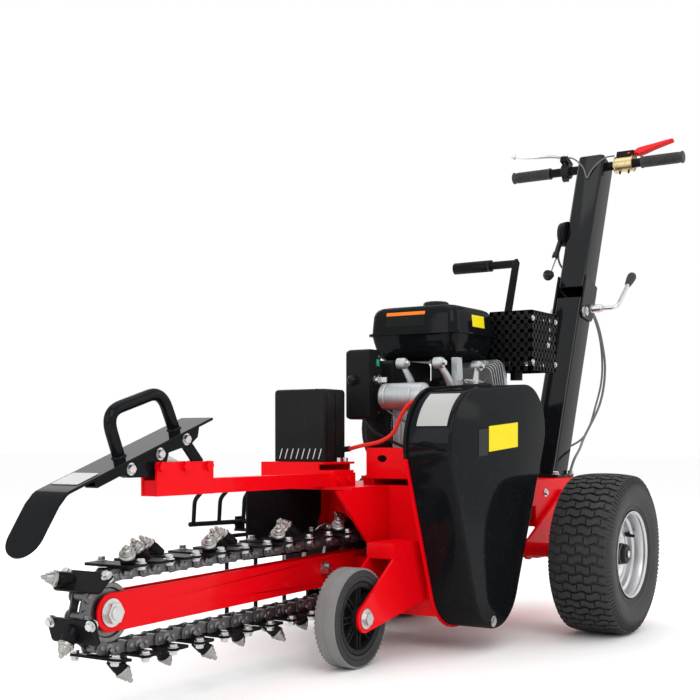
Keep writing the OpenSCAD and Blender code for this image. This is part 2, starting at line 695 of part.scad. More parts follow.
module fold_bolt() {
  color([0.7, 0.71, 0.73]) at_machine() on_column() {
    rod_y(-fold_f, fold_s, -column_w / 2 - 5.5, column_w / 2 + 5.5, 8);
    hex_y(-fold_f, fold_s, -column_w / 2 - 14, -column_w / 2 - 5.5, 13);
    hex_y(-fold_f, fold_s, column_w / 2 + 5.5, column_w / 2 + 14, 13);
  }
}
module crank_rod() {
  color([0.72, 0.73, 0.75]) at_machine() on_column() {
    rod_y(8, lower_len - 14, -column_w / 2 - 44, -column_w / 2 - 5.7, 11);
    rod_y(8, lower_len - 14, -column_w / 2 - 92, -column_w / 2 - 44, 7.5);
    bar([8, -column_w / 2 - 84, lower_len - 14], [70, -column_w / 2 - 84, lower_len + 92], 5.5, 24);
  }
}
module lock_grip() {
  color([0.03, 0.03, 0.03]) at_machine() on_column() bar([70, -column_w / 2 - 84, lower_len + 92], [92,
    -column_w / 2 - 84, lower_len + 130], 13, 24);
}
module handlebar() {
  color([0.02, 0.02, 0.022]) at_machine() on_column() rod_y(0, bar_s, -bar_half, bar_half, 12.5);
}
module bar_grips() {
  color([0.05, 0.05, 0.05]) at_machine() on_column() for (s = [-1, 1]) tube_y(0, bar_s,
    s > 0 ? bar_half - 118 : -bar_half - 4, s > 0 ? bar_half + 4 : -bar_half + 118, 17, 12.5);
}
module clutch_bracket() {
  color([0.04, 0.04, 0.04]) at_machine() on_column() {
    tube_y(0, bar_s, 78, 100, 20, 12.5);
    difference() {
      translate([-34, 78, bar_s + 16]) cube([44, 22, 16]);
      translate([-22, 89, bar_s + 10]) cylinder(h = 30, r = 4.05, $fn = 24);
    }
  }
}
module clutch_lever() {
  color([0.75, 0.76, 0.78]) at_machine() on_column() {
    translate([-22, 89, bar_s + 12]) cylinder(h = 20, r = 4, $fn = 24);
    translate([-22, 89, bar_s + 32]) cylinder(h = 8, r = 12, $fn = 32);
    slab_z(bar_s + 32.5, 7) polygon([[-16, 84], [-18, 96], [-42, 156], [-53, 237], [-65, 239], [-53, 150],
      [-27, 82]]);
    translate([-59, 240, bar_s + 36]) sphere(9, $fn = 32);
  }
}
module latch_bracket() {
  color([0.72, 0.58, 0.28]) at_machine() on_column() {
    tube_y(0, bar_s, -116, -62, 21, 12.5);
    difference() {
      translate([-16, -116, bar_s + 17]) cube([32, 50, 18]);
      translate([-17, -102, bar_s + 27]) rotate([0, 90, 0]) cylinder(h = 34, r = 4.05, $fn = 24);
      translate([-9, -117, bar_s + 15.5]) cube([18, 40, 30]);
    }
    for (y = [-104, -78]) translate([0, y, bar_s - 30]) cylinder(h = 14, r = 3, $fn = 16);
  }
}
module latch_lever() {
  color([0.86, 0.03, 0.05]) at_machine() on_column() {
    translate([-16, -102, bar_s + 27]) rotate([0, 90, 0]) cylinder(h = 32, r = 4, $fn = 24);
    translate([0, -102, bar_s + 27]) rotate([-14, 0, 0]) translate([-8.6, -128, -2]) cube([17.2, 134, 7]);
  }
}
module throttle_base() {
  color([0.03, 0.03, 0.03]) at_machine() on_column() {
    rod_y(-27, 178 + upper_s, column_w / 2, column_w / 2 + 10, 36);
    rod_y(-27, 178 + upper_s, column_w / 2 + 10, column_w / 2 + 26, 6);
  }
}
module throttle_disc() {
  color([0.04, 0.04, 0.04]) at_machine() on_column() {
    tube_y(-27, 178 + upper_s, column_w / 2 + 10.3, column_w / 2 + 22, 34, 6.05);
    slab_y(column_w / 2 + 11.6, 9.2) translate([0, upper_s]) polygon([[-46, 158], [-30, 153], [-47, 92],
      [-61, 96]]);
    bar([-53, column_w / 2 + 16.2, 104 + upper_s], [-75, column_w / 2 + 16.2, 34 + upper_s], 4, 16);
  }
}
module throttle_knob() {
  color([0.02, 0.02, 0.02]) at_machine() on_column() translate([-79, column_w / 2 + 16.2, 22 + upper_s])
    rotate([90, 0, 0]) sphere(16, $fn = 32);
}

// Engine.
module engine_block() {
  color([0.6, 0.61, 0.62]) at_machine() difference() {
    union() {
      box([-300, -28, deck_top + 20], [-110, 118, 545]);
      box([-330, 10, deck_top + 20], [-300, 100, 520]);
      rod_y(crank_x, crank_z, -36, -28, 66);
      translate([crank_x, 0, crank_z]) rotate([0, -20, 0]) {
        translate([60, -12, -42]) cube([60, 110, 84]);
        for (i = [0:5]) translate([118 + i * 12, -20, -46]) cube([6, 126, 92]);
        translate([110, 0, -36]) cube([86, 86, 72]);
        translate([186, -14, -44]) cube([30, 114, 88]);
        translate([216, 4, -32]) cube([24, 78, 64]);
      }
      for (x = [-258, -120]) slab_y(-28, 14) polygon([[x, 520], [x + 34, 520], [x + 22, 642], [x - 2, 642]]);
    }
    rod_y(crank_x, crank_z, -40, -8, crank_r + fit);
    translate([-122, 92, 410]) rotate([0, 90, 0]) cylinder(h = 20, r = 8.05, $fn = 32);
  }
}
module crankshaft() {
  color([0.55, 0.56, 0.58]) at_machine() {
    rod_y(crank_x, crank_z, guard_y0 + 12, -10, crank_r);
    hex_y(crank_x, crank_z, guard_y0 + 6, guard_y0 + 12, 14);
    rod_y(crank_x, crank_z, guard_y0 + 73, guard_y0 + 82, 30);
  }
}
module fan_housing() {
  color([0.03, 0.03, 0.033]) at_machine() {
    rod_y(crank_x, crank_z, 118, 192, 108);
    box([-302, 118, 545], [-118, 190, 640]);
  }
}
module recoil_cover() {
  color([0.04, 0.04, 0.043]) at_machine() {
    rod_y(crank_x, crank_z, 192, 210, 90);
    rod_y(crank_x, crank_z, 210, 218, 42);
    box([-262, 192, 560], [-236, 206, 590]);
  }
}
module recoil_grip() {
  color([0.05, 0.05, 0.05]) at_machine() {
    box([-268, 194, 591], [-230, 206, 603]);
    box([-262, 191, 603], [-236, 209, 611]);
  }
}
module fuel_tank() {
  color([0.02, 0.02, 0.024]) at_machine() translate([0, 100, 0]) {
    difference() {
      union() {
        translate([-244, -tank_len / 2 + 4, 708]) cube([198, tank_len - 8, 62]);
        translate([-252, -tank_len / 2 - 3, 702]) cube([214, tank_len + 6, 6]);
        translate([-240, -tank_len / 2 + 8, 642]) cube([190, tank_len - 16, 60]);
        translate([-126, 0, 770]) cylinder(h = 8, r = 34, $fn = 48);
      }
      for (sx = [0, 1]) for (sy = [-1, 1]) translate([sx > 0 ? -46 : -244, sy * (tank_len / 2 - 4), 640])
        rotate([0, 0, 45]) translate([-14, -14, 0]) cube([28, 28, 61.9]);
    }
  }
}
module fuel_cap() {
  color([0.03, 0.03, 0.03]) at_machine() translate([-126, 100, 778.05]) difference() {
    cylinder(h = 18, r = 31, $fn = 48);
    for (a = [0:30:330]) rotate([0, 0, a]) translate([31, 0, -1]) cylinder(h = 14, r = 3, $fn = 12);
  }
}
module air_box() {
  color([0.045, 0.047, 0.05]) at_machine() {
    box([-24, 24, 608], [112, 170, 668]);
    box([-20, 28, 668], [108, 166, 762]);
    translate([44, 97, 762]) cylinder(h = 8, r = 16, $fn = 6);
  }
}
module carburettor() {
  color([0.5, 0.51, 0.52]) at_machine() {
    box([-86, 112, 545], [-26, 156, 600]);
    box([-60, 118, 600], [0, 150, 608]);
    rod_y(-56, 570, 156, 170, 14);
  }
}
module muffler() {
  color([0.16, 0.15, 0.15]) at_machine() {
    box([-24, -92, 640], [106, -8, 748]);
    box([-2, -60, 600], [36, -34, 640]);
  }
}
module guard_box() {
  color([0.03, 0.03, 0.03]) at_machine() difference() {
    box([-36, -106, 622], [122, 8, 768]);
    box([-33, -103, 621], [119, 5, 765]);
    for (x = [-25:24:110]) for (z = [636:24:748]) box([x, -110, z], [x + 14, -100, z + 12]);
    for (y = [-92:24:-8]) for (z = [636:24:748]) box([110, y, z], [130, y + 14, z + 12]);
    for (x = [-25:24:110]) for (y = [-92:24:-8]) box([x, y, 760], [x + 14, y + 14, 770]);
  }
}
module control_box() {
  color([0.035, 0.035, 0.04]) at_machine() {
    box([-384, 132, 500], [-330, 196, 660]);
    box([-330, 140, 560], [-302, 180, 640]);
  }
}
module ignition_key() {
  color([0.6, 0.6, 0.62]) at_machine() {
    rod_y(-356, 590, 120, 131.9, 8);
    box([-358, 100, 583], [-354, 120, 597]);
  }
}
module starter_motor() {
  color([0.66, 0.67, 0.68]) at_machine() {
    rod_y(-352, 552, 0, 112, 30);
    box([-352, 20, 520], [-316, 90, 536]);
    rod_y(-352, 552, -10, 0, 16);
  }
}
module oil_cap() {
  color([0.85, 0.45, 0.05]) at_machine() {
    translate([-120, 92, 410]) rotate([0, 90, 0]) cylinder(h = 10.1, r = 8, $fn = 32);
    translate([-109.9, 92, 410]) rotate([0, 90, 0]) cylinder(h = 16, r = 13, $fn = 6);
  }
}

// Cables.
function spline(p, i, t) =
  0.5 * (2 * p[i + 1] + (p[i + 2] - p[i]) * t + (2 * p[i] - 5 * p[i + 1] + 4 * p[i + 2] - p[i + 3])
    * t * t + (3 * p[i + 1] - p[i] - 3 * p[i + 2] + p[i + 3]) * t * t * t);
function smooth(p, n) = let (q = concat([2 * p[0] - p[1]], p, [2 * p[len(p) - 1] - p[len(p) - 2]]))
  concat([for (i = [0:len(p) - 2]) for (k = [0:n - 1]) spline(q, i, k / n)], [p[len(p) - 1]]);
function unit(v) = v / norm(v);
module cable(p, r, n = 6) {
  c = smooth(p, n);
  m = len(c);
  function dir(i) = unit(c[min(i + 1, m - 1)] - c[max(i - 1, 0)]);
  function sideways(i) = unit(cross(dir(i), abs(dir(i)[1]) > 0.9 ? [1, 0, 0] : [0, 1, 0]));
  ring = [for (i = [0:m - 1]) for (a = [0:45:315]) c[i] + r * (cos(a) * sideways(i) + sin(a)
    * cross(dir(i), sideways(i)))];
  walls = [for (i = [0:m - 2]) for (a = [0:7]) [i * 8 + a, i * 8 + (a + 1) % 8, (i + 1) * 8 + (a + 1) % 8,
    (i + 1) * 8 + a]];
  polyhedron(ring, concat([[7, 6, 5, 4, 3, 2, 1, 0]], walls, [[for (a = [0:7]) (m - 1) * 8 + a]]));
}
clutch_run = [[545, -18, 842], [608, -20, 806], [648, -24, 744], [660, -30, 657], [622, -30, 560], [502,
  -30, 462], [420, -50, 430], [330, -70, 400], [300, -68, 358]];
throttle_run = [[528, 60, 1010], [560, 68, 960], [640, 40, 900], [668, -4, 780], [664, -20, 660], [618,
  -20, 560], [502, -20, 454], [400, 56, 430], [240, 128, 520], [100, 172, 575], [-20, 162, 575]];
lead_run = [[-352, -15.5, 545], [-372, -15.5, 546], [-388, -10, 542], [-403, 14, 533], [-413, 31, 505],
  [-422, 44, 470], [-440, 66, 450], [-456, 108, 440], [-457, 134, 434], [-456, 150.5, 432]];
module clutch_cable() {
  color([0.3, 0.3, 0.3]) at_machine() cable(clutch_run, 3.5);
}
module throttle_cable() {
  color([0.35, 0.35, 0.35]) at_machine() cable(throttle_run, 3);
}
module starter_lead() {
  color([0.8, 0.05, 0.03]) at_machine() cable(lead_run, 4.5);
}

// Nodes made of more than one piece.
module frame_weldment() {
  frame_plates();
  depth_quadrant();
  boom_mount();
  beam_clamp();
}
module pins_and_bolts() {
  battery_bolts();
  guard_bolts();
  idler_pin();
  nose_bolt();
  support_axle();
  fold_bolt();
}
module digging_chain() {
  chain_inner();
  chain_outer();
}
module side_beam() {
  beam_bar();
  clevis_bolts();
}
module lower_cage() {
  cage_rings();
  cage_clamp();
}
module spoil_skirts() {
  skirt_plates();
  deflector_plate();
}
module depth_lever() {
  depth_bar();
  depth_grip();
}
module lock_crank() {
  crank_rod();
  lock_grip();
}
module bar_brackets() {
  clutch_bracket();
  latch_bracket();
  throttle_base();
}
module throttle_lever() {
  throttle_disc();
  throttle_knob();
}
module air_cleaner() {
  air_box();
  carburettor();
}
module muffler_guard() {
  guard_box();
  muffler();
}
module control_cables() {
  clutch_cable();
  throttle_cable();
}

frame_weldment();
rear_loop();
engine_base();
battery_tray();
battery();
battery_cover();
belt_guard();
pins_and_bolts();
driven_pulley();
clutch_drum();
belt_idler();
drive_belts();
head_shaft();
head_bearings();
head_sprocket();
spoil_auger();
boom_bar();
nose_roller();
digging_chain();
tooth_plates();
bullet_teeth();
side_beam();
crumber_blade();
crumber_handle();
crumber_links();
upper_cage();
lower_cage();
spoil_skirts();
tyre_left();
tyre_right();
rim_left();
rim_right();
axle_carriage();
depth_lever();
support_tyre();
support_hub();
column_lower();
column_upper();
lock_crank();
handlebar();
bar_brackets();
bar_grips();
clutch_lever();
latch_lever();
throttle_lever();
engine_block();
crankshaft();
fan_housing();
recoil_cover();
recoil_grip();
fuel_tank();
fuel_cap();
air_cleaner();
muffler_guard();
control_box();
ignition_key();
starter_motor();
oil_cap();
control_cables();
starter_lead();
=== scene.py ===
import bmesh
import bpy
import json
import math
from mathutils import Matrix, Vector


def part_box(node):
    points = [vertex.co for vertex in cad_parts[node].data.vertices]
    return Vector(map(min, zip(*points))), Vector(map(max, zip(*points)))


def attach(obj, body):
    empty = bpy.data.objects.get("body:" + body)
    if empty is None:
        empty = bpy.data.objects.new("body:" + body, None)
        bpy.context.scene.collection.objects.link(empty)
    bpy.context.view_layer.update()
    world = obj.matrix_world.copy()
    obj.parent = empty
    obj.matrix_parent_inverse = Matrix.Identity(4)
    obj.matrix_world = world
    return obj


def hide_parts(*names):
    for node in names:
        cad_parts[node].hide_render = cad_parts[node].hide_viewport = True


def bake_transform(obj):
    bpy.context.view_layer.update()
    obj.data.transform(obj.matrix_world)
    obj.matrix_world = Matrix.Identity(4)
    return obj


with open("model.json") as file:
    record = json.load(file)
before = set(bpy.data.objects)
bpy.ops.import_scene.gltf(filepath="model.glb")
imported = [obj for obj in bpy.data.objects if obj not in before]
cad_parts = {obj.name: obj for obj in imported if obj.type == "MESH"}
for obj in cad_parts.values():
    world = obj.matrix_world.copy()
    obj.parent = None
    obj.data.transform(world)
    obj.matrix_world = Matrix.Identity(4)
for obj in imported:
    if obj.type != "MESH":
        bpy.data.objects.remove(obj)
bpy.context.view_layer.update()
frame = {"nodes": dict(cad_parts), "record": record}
print("frame loaded")


def middle(node):
    low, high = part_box(node)
    return (low + high) / 2


def shift(x, y, z):
    return Matrix.Translation((x, y, z))


def turn(degrees, axis):
    return Matrix.Rotation(math.radians(degrees), 4, axis)


# The machine's own frame, in millimetres: ground under the middle of the drive axle, x back to the
# handlebar, y away from the belt guard.
axleMiddle = (middle("tyre_left") + middle("tyre_right")) / 2
axleMiddle.y = (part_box("tyre_left")[0].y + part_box("tyre_right")[1].y) / 2
machine = shift(axleMiddle.x, axleMiddle.y, 0) @ Matrix.Scale(0.001, 4)
toMachine = machine.inverted()
head = toMachine @ middle("driven_pulley")
nose = toMachine @ middle("nose_roller")
chainMiddle = toMachine @ middle("digging_chain")
bar = toMachine @ middle("handlebar")
crank = toMachine @ middle("clutch_drum")

# The boom's frame: origin at the head shaft, the boom along -x.
boomLength = math.hypot(head.x - nose.x, head.z - nose.z)
boomTilt = math.degrees(math.atan2(head.z - nose.z, head.x - nose.x))
boom = machine @ shift(head.x, chainMiddle.y, head.z) @ turn(-boomTilt, "Y")

# The steering column's frame: origin on the deck, z up the column, x towards the operator.
columnLook = {
    "lean": 20.9, "barUp": 955, "deep": 85, "wide": 77, "corner": 9, "wall": 4,
    "lowerTop": 515, "upperFoot": 548, "upperTop": 973, "pivot": (-24, 478),
}
barUp = columnLook["barUp"]
column = machine @ shift(*bar) @ turn(columnLook["lean"], "Y") @ shift(0, 0, -barUp)


# Materials.

class Wire:  # an output socket: sums written on it add Math nodes
    def __init__(self, finish, socket):
        self.finish = finish
        self.socket = socket

    def calc(self, operation, first, second, clamp=False):
        settings = {"operation": operation, "use_clamp": clamp}
        return self.finish.node("ShaderNodeMath", settings, {0: first, 1: second})

    def __add__(self, other):
        return self.calc("ADD", self, other)

    def __radd__(self, other):
        return self.calc("ADD", other, self)

    def __sub__(self, other):
        return self.calc("SUBTRACT", self, other)

    def __rsub__(self, other):
        return self.calc("SUBTRACT", other, self)

    def __mul__(self, other):
        return self.calc("MULTIPLY", self, other)

    def __rmul__(self, other):
        return self.calc("MULTIPLY", other, self)

    def over(self, level, gain):  # 0 below the level, rising to 1 above it
        return self.calc("MULTIPLY", self - level, gain, clamp=True)


class Finish:
    def __init__(self, name):
        self.material = bpy.data.materials.new(name)
        self.material.use_nodes = True
        self.tree = self.material.node_tree
        self.shader = self.tree.nodes["Principled BSDF"]
        self.place = self.node("ShaderNodeTexCoord", output="Object")

    def node(self, kind, settings=None, sockets=None, output=0):
        made = self.tree.nodes.new(kind)
        for name, value in (settings or {}).items():
            setattr(made, name, value)
        self.fill(made, sockets or {})
        return Wire(self, made.outputs[output])

    def fill(self, node, sockets):
        for name, value in sockets.items():
            if isinstance(value, Wire):
                self.tree.links.new(value.socket, node.inputs[name])
            else:
                node.inputs[name].default_value = value

    def noise(self, scale, detail=3.0, rough=0.5, place=None):
        sockets = {"Vector": place or self.place, "Scale": scale, "Detail": detail, "Roughness": rough}
        return self.node("ShaderNodeTexNoise", {}, sockets, "Fac")

    def stretched(self, scale, stretch, detail=4.0):  # noise drawn out along the axes with a low stretch
        place = self.node("ShaderNodeMapping", {}, {"Vector": self.place, "Scale": stretch})
        return self.noise(scale, detail, 0.6, place)

    def mix(self, mask, first, second):
        return self.node("ShaderNodeMix", {"data_type": "RGBA"}, {0: mask, 6: first, 7: second}, 2)

    def bump(self, height, strength, distance):
        return self.node("ShaderNodeBump", {}, {"Height": height, "Strength": strength,
            "Distance": distance})

    def shade(self, **sockets):
        self.fill(self.shader, {name.replace("_", " "): value for name, value in sockets.items()})
        return self.material


def rgb(red, green, blue):
    return (red, green, blue, 1.0)


def paintFinish(name, look):
    paint = Finish(name)
    cloud = paint.noise(look["cloudScale"], 4.0)
    peel = paint.noise(look["peelScale"], 2.0)
    dust = paint.noise(look["dustScale"], 6.0, 0.7).over(0.56, 5.0)
    scuff = paint.stretched(look["scuffScale"], (0.08, 1.0, 1.0)).over(0.66, 9.0)
    tone = paint.mix(cloud, look["colour"], look["shade"])
    dusty = paint.mix(dust * look["dust"], tone, rgb(0.42, 0.38, 0.34))
    colour = paint.mix(scuff * look["scuff"], dusty, look["worn"])
    rough = look["rough"] + cloud * 0.08 + dust * look["dust"] + scuff * 0.12
    return paint.shade(
        Base_Color=colour, Roughness=rough, Coat_Weight=look["coat"], Coat_Roughness=0.08,
        Specular_IOR_Level=look["gloss"],
        Normal=paint.bump(peel + dust * 0.3, look["peel"], 0.0006))


def metalFinish(name, look):
    metal = Finish(name)
    cloud = metal.noise(look["cloudScale"], 5.0)
    grain = metal.stretched(look["grainScale"], look["grain"])
    stain = metal.noise(look["stainScale"], 7.0, 0.65).over(0.54, 6.0)
    tone = metal.mix(cloud, look["colour"], look["shade"])
    colour = metal.mix(stain * look["stain"], tone, look["stained"])
    rough = look["rough"] + grain * look["brush"] + stain * 0.2
    return metal.shade(
        Base_Color=colour, Roughness=rough, Metallic=1.0 - stain * look["stain"] * 0.7,
        Normal=metal.bump(grain + stain * 0.5, look["bump"], 0.0004))


def rubberFinish(name, look):
    rubber = Finish(name)
    cloud = rubber.noise(look["cloudScale"], 5.0)
    grain = rubber.noise(look["grainScale"], 3.0, 0.6)
    scuff = rubber.noise(look["scuffScale"], 8.0, 0.7).over(0.55, 4.0)
    tone = rubber.mix(cloud, look["colour"], look["shade"])
    colour = rubber.mix(scuff * look["scuff"], tone, look["worn"])
    rough = look["rough"] + grain * 0.16 - cloud * 0.06
    return rubber.shade(
        Base_Color=colour, Roughness=rough, Specular_IOR_Level=look["gloss"],
        Normal=rubber.bump(grain, look["bump"], 0.0005))


def plasticFinish(name, look):
    plastic = Finish(name)
    cloud = plastic.noise(look["cloudScale"], 4.0)
    pits = plastic.node(
        "ShaderNodeTexVoronoi", {"feature": "SMOOTH_F1"}, {"Vector": plastic.place,
            "Scale": look["pitScale"]},
        "Distance")
    dust = plastic.noise(look["dustScale"], 6.0, 0.7).over(0.58, 5.0)
    tone = plastic.mix(cloud, look["colour"], look["shade"])
    colour = plastic.mix(dust * look["dust"], tone, rgb(0.35, 0.33, 0.31))
    rough = look["rough"] + cloud * 0.1 + dust * 0.1
    return plastic.shade(
        Base_Color=colour, Roughness=rough, Specular_IOR_Level=0.12,
            Normal=plastic.bump(pits, look["bump"], 0.0003))


redPaint = {
    "colour": rgb(0.78, 0.001, 0.006), "shade": rgb(0.70, 0.001, 0.005), "worn": rgb(0.86, 0.10, 0.09),
    "cloudScale": 5.0, "peelScale": 420.0, "dustScale": 60.0, "scuffScale": 90.0,
    "dust": 0.03, "scuff": 0.10, "rough": 0.34, "coat": 0.12, "gloss": 0.04, "peel": 0.10,
}
blackPaint = {
    "colour": rgb(0.005, 0.005, 0.006), "shade": rgb(0.009, 0.009, 0.010), "worn": rgb(0.09, 0.09, 0.095),
    "cloudScale": 6.0, "peelScale": 500.0, "dustScale": 70.0, "scuffScale": 110.0,
    "dust": 0.02, "scuff": 0.12, "rough": 0.34, "coat": 0.10, "gloss": 0.02, "peel": 0.08,
}
zincSteel = {
    "colour": rgb(0.66, 0.66, 0.64), "shade": rgb(0.50, 0.51, 0.52), "stained": rgb(0.22, 0.20, 0.17),
    "cloudScale": 90.0, "grainScale": 700.0, "grain": (1.0, 0.2, 1.0), "stainScale": 160.0,
    "stain": 0.25, "rough": 0.22, "brush": 0.18, "bump": 0.06,
}
blackRubber = {
    "colour": rgb(0.016, 0.016, 0.017), "shade": rgb(0.030, 0.030, 0.031), "worn": rgb(0.10, 0.098, 0.094),
    "cloudScale": 18.0, "grainScale": 900.0, "scuffScale": 45.0, "scuff": 0.35, "rough": 0.58,
    "gloss": 0.35, "bump": 0.18,
}
blackPlastic = {
    "colour": rgb(0.009, 0.009, 0.010), "shade": rgb(0.017, 0.017, 0.018), "cloudScale": 14.0,
    "pitScale": 1300.0, "dustScale": 80.0, "dust": 0.05, "rough": 0.38, "bump": 0.14,
}


def changed(look, **new):
    return {**look, **new}


finishes = {
    "red_paint": paintFinish("redPowderCoat", redPaint),
    "red_enamel": paintFinish("redEnamel", changed(
        redPaint, colour=rgb(0.72, 0.004, 0.010), shade=rgb(0.60, 0.002, 0.007), rough=0.2, coat=0.35)),
    "black_paint": paintFinish("blackPowderCoat", blackPaint),
    "black_gloss_paint": paintFinish("blackGloss", changed(
        blackPaint, colour=rgb(0.0035, 0.004, 0.005), shade=rgb(0.006, 0.007, 0.008), rough=0.2, coat=0.2,
        gloss=0.0, peel=0.05)),
    "column_gloss": paintFinish("columnGloss", changed(
        blackPaint, colour=rgb(0.0035, 0.004, 0.005), shade=rgb(0.006, 0.007, 0.008), rough=0.2, coat=0.55,
        gloss=0.0, peel=0.03)),
    "black_satin_paint": paintFinish("blackSatin", changed(
        blackPaint, colour=rgb(0.007, 0.0075, 0.008), shade=rgb(0.013, 0.0135, 0.014), rough=0.42,
            coat=0.05,
        gloss=0.05)),
    "grey_paint": metalFinish("silverRimPaint", changed(
        zincSteel, colour=rgb(0.62, 0.62, 0.63), shade=rgb(0.52, 0.52, 0.53), stain=0.08, rough=0.34,
        grain=(1.0, 1.0, 1.0), brush=0.08)),
    "black_plastic": plasticFinish("mouldedBlack", blackPlastic),
    "orange_plastic": plasticFinish("mouldedOrange", changed(
        blackPlastic, colour=rgb(0.85, 0.22, 0.02), shade=rgb(0.72, 0.16, 0.015))),
    "tyre_rubber": rubberFinish("tyreRubber", blackRubber),
    "tread_grey": rubberFinish("greyTread", changed(
        blackRubber, colour=rgb(0.16, 0.16, 0.16), shade=rgb(0.22, 0.22, 0.22), worn=rgb(0.34, 0.34, 0.33),
        scuff=0.6)),
    "grip_rubber": rubberFinish("gripRubber", changed(blackRubber, rough=0.48, grainScale=1300.0)),
    "belt_rubber": rubberFinish("beltRubber", changed(blackRubber, rough=0.66)),
    "zinc_steel": metalFinish("zincPlate", zincSteel),
    "bright_steel": metalFinish("brightSteel", changed(zincSteel, rough=0.16, stain=0.12)),
    "polished_steel": metalFinish("polishedSteel", changed(
        zincSteel, colour=rgb(0.74, 0.74, 0.73), shade=rgb(0.62, 0.63, 0.64), rough=0.08, stain=0.06)),
    "bare_iron": metalFinish("bareIron", changed(
        zincSteel, colour=rgb(0.24, 0.24, 0.24), shade=rgb(0.17, 0.17, 0.17), stained=rgb(0.10, 0.06, 0.04),
        rough=0.38, stain=0.5)),
    "chain_steel": metalFinish("chainSteel", changed(
        zincSteel, colour=rgb(0.16, 0.16, 0.165), shade=rgb(0.11, 0.11, 0.115),
            stained=rgb(0.05, 0.045, 0.04),
        rough=0.40, stain=0.45, bump=0.12)),
    "black_steel": paintFinish("blackSteel", changed(blackPaint, rough=0.36, scuff=0.3)),
    "tooth_steel": metalFinish("toothSteel", changed(
        zincSteel, colour=rgb(0.42, 0.41, 0.39), shade=rgb(0.30, 0.29, 0.28), rough=0.26, stain=0.35)),
    "cast_aluminium": metalFinish("castAluminium", changed(
        zincSteel, colour=rgb(0.52, 0.54, 0.55), shade=rgb(0.38, 0.40, 0.41), grainScale=500.0,
        grain=(1.0, 1.0, 1.0), rough=0.36, brush=0.22, bump=0.35, stain=0.2)),
    "cable_sheath": plasticFinish("cableSheath", changed(
        blackPlastic, colour=rgb(0.10, 0.10, 0.10), shade=rgb(0.16, 0.16, 0.16), rough=0.34)),
    "lead_red": plasticFinish("leadSheath", changed(
        blackPlastic, colour=rgb(0.72, 0.03, 0.02), shade=rgb(0.58, 0.02, 0.015), rough=0.36)),
}
# Small coloured pieces that have no slot of their own.
plateYellow = plasticFinish("plainYellowPlate", changed(
    blackPlastic, colour=rgb(0.80, 0.66, 0.0), shade=rgb(0.74, 0.60, 0.0), bump=0.03))
plateGrey = plasticFinish("plainGreyPlate", changed(
    blackPlastic, colour=rgb(0.42, 0.42, 0.41), shade=rgb(0.36, 0.36, 0.35), bump=0.03))
greenPlastic = plasticFinish("greenPlastic", changed(
    blackPlastic, colour=rgb(0.02, 0.42, 0.22), shade=rgb(0.015, 0.32, 0.17)))
yellowZinc = metalFinish("yellowZinc", changed(
    zincSteel, colour=rgb(0.66, 0.53, 0.24), shade=rgb(0.52, 0.44, 0.26), stain=0.3))
print("finishes made:", len(finishes) + 4)


# Mesh helpers.

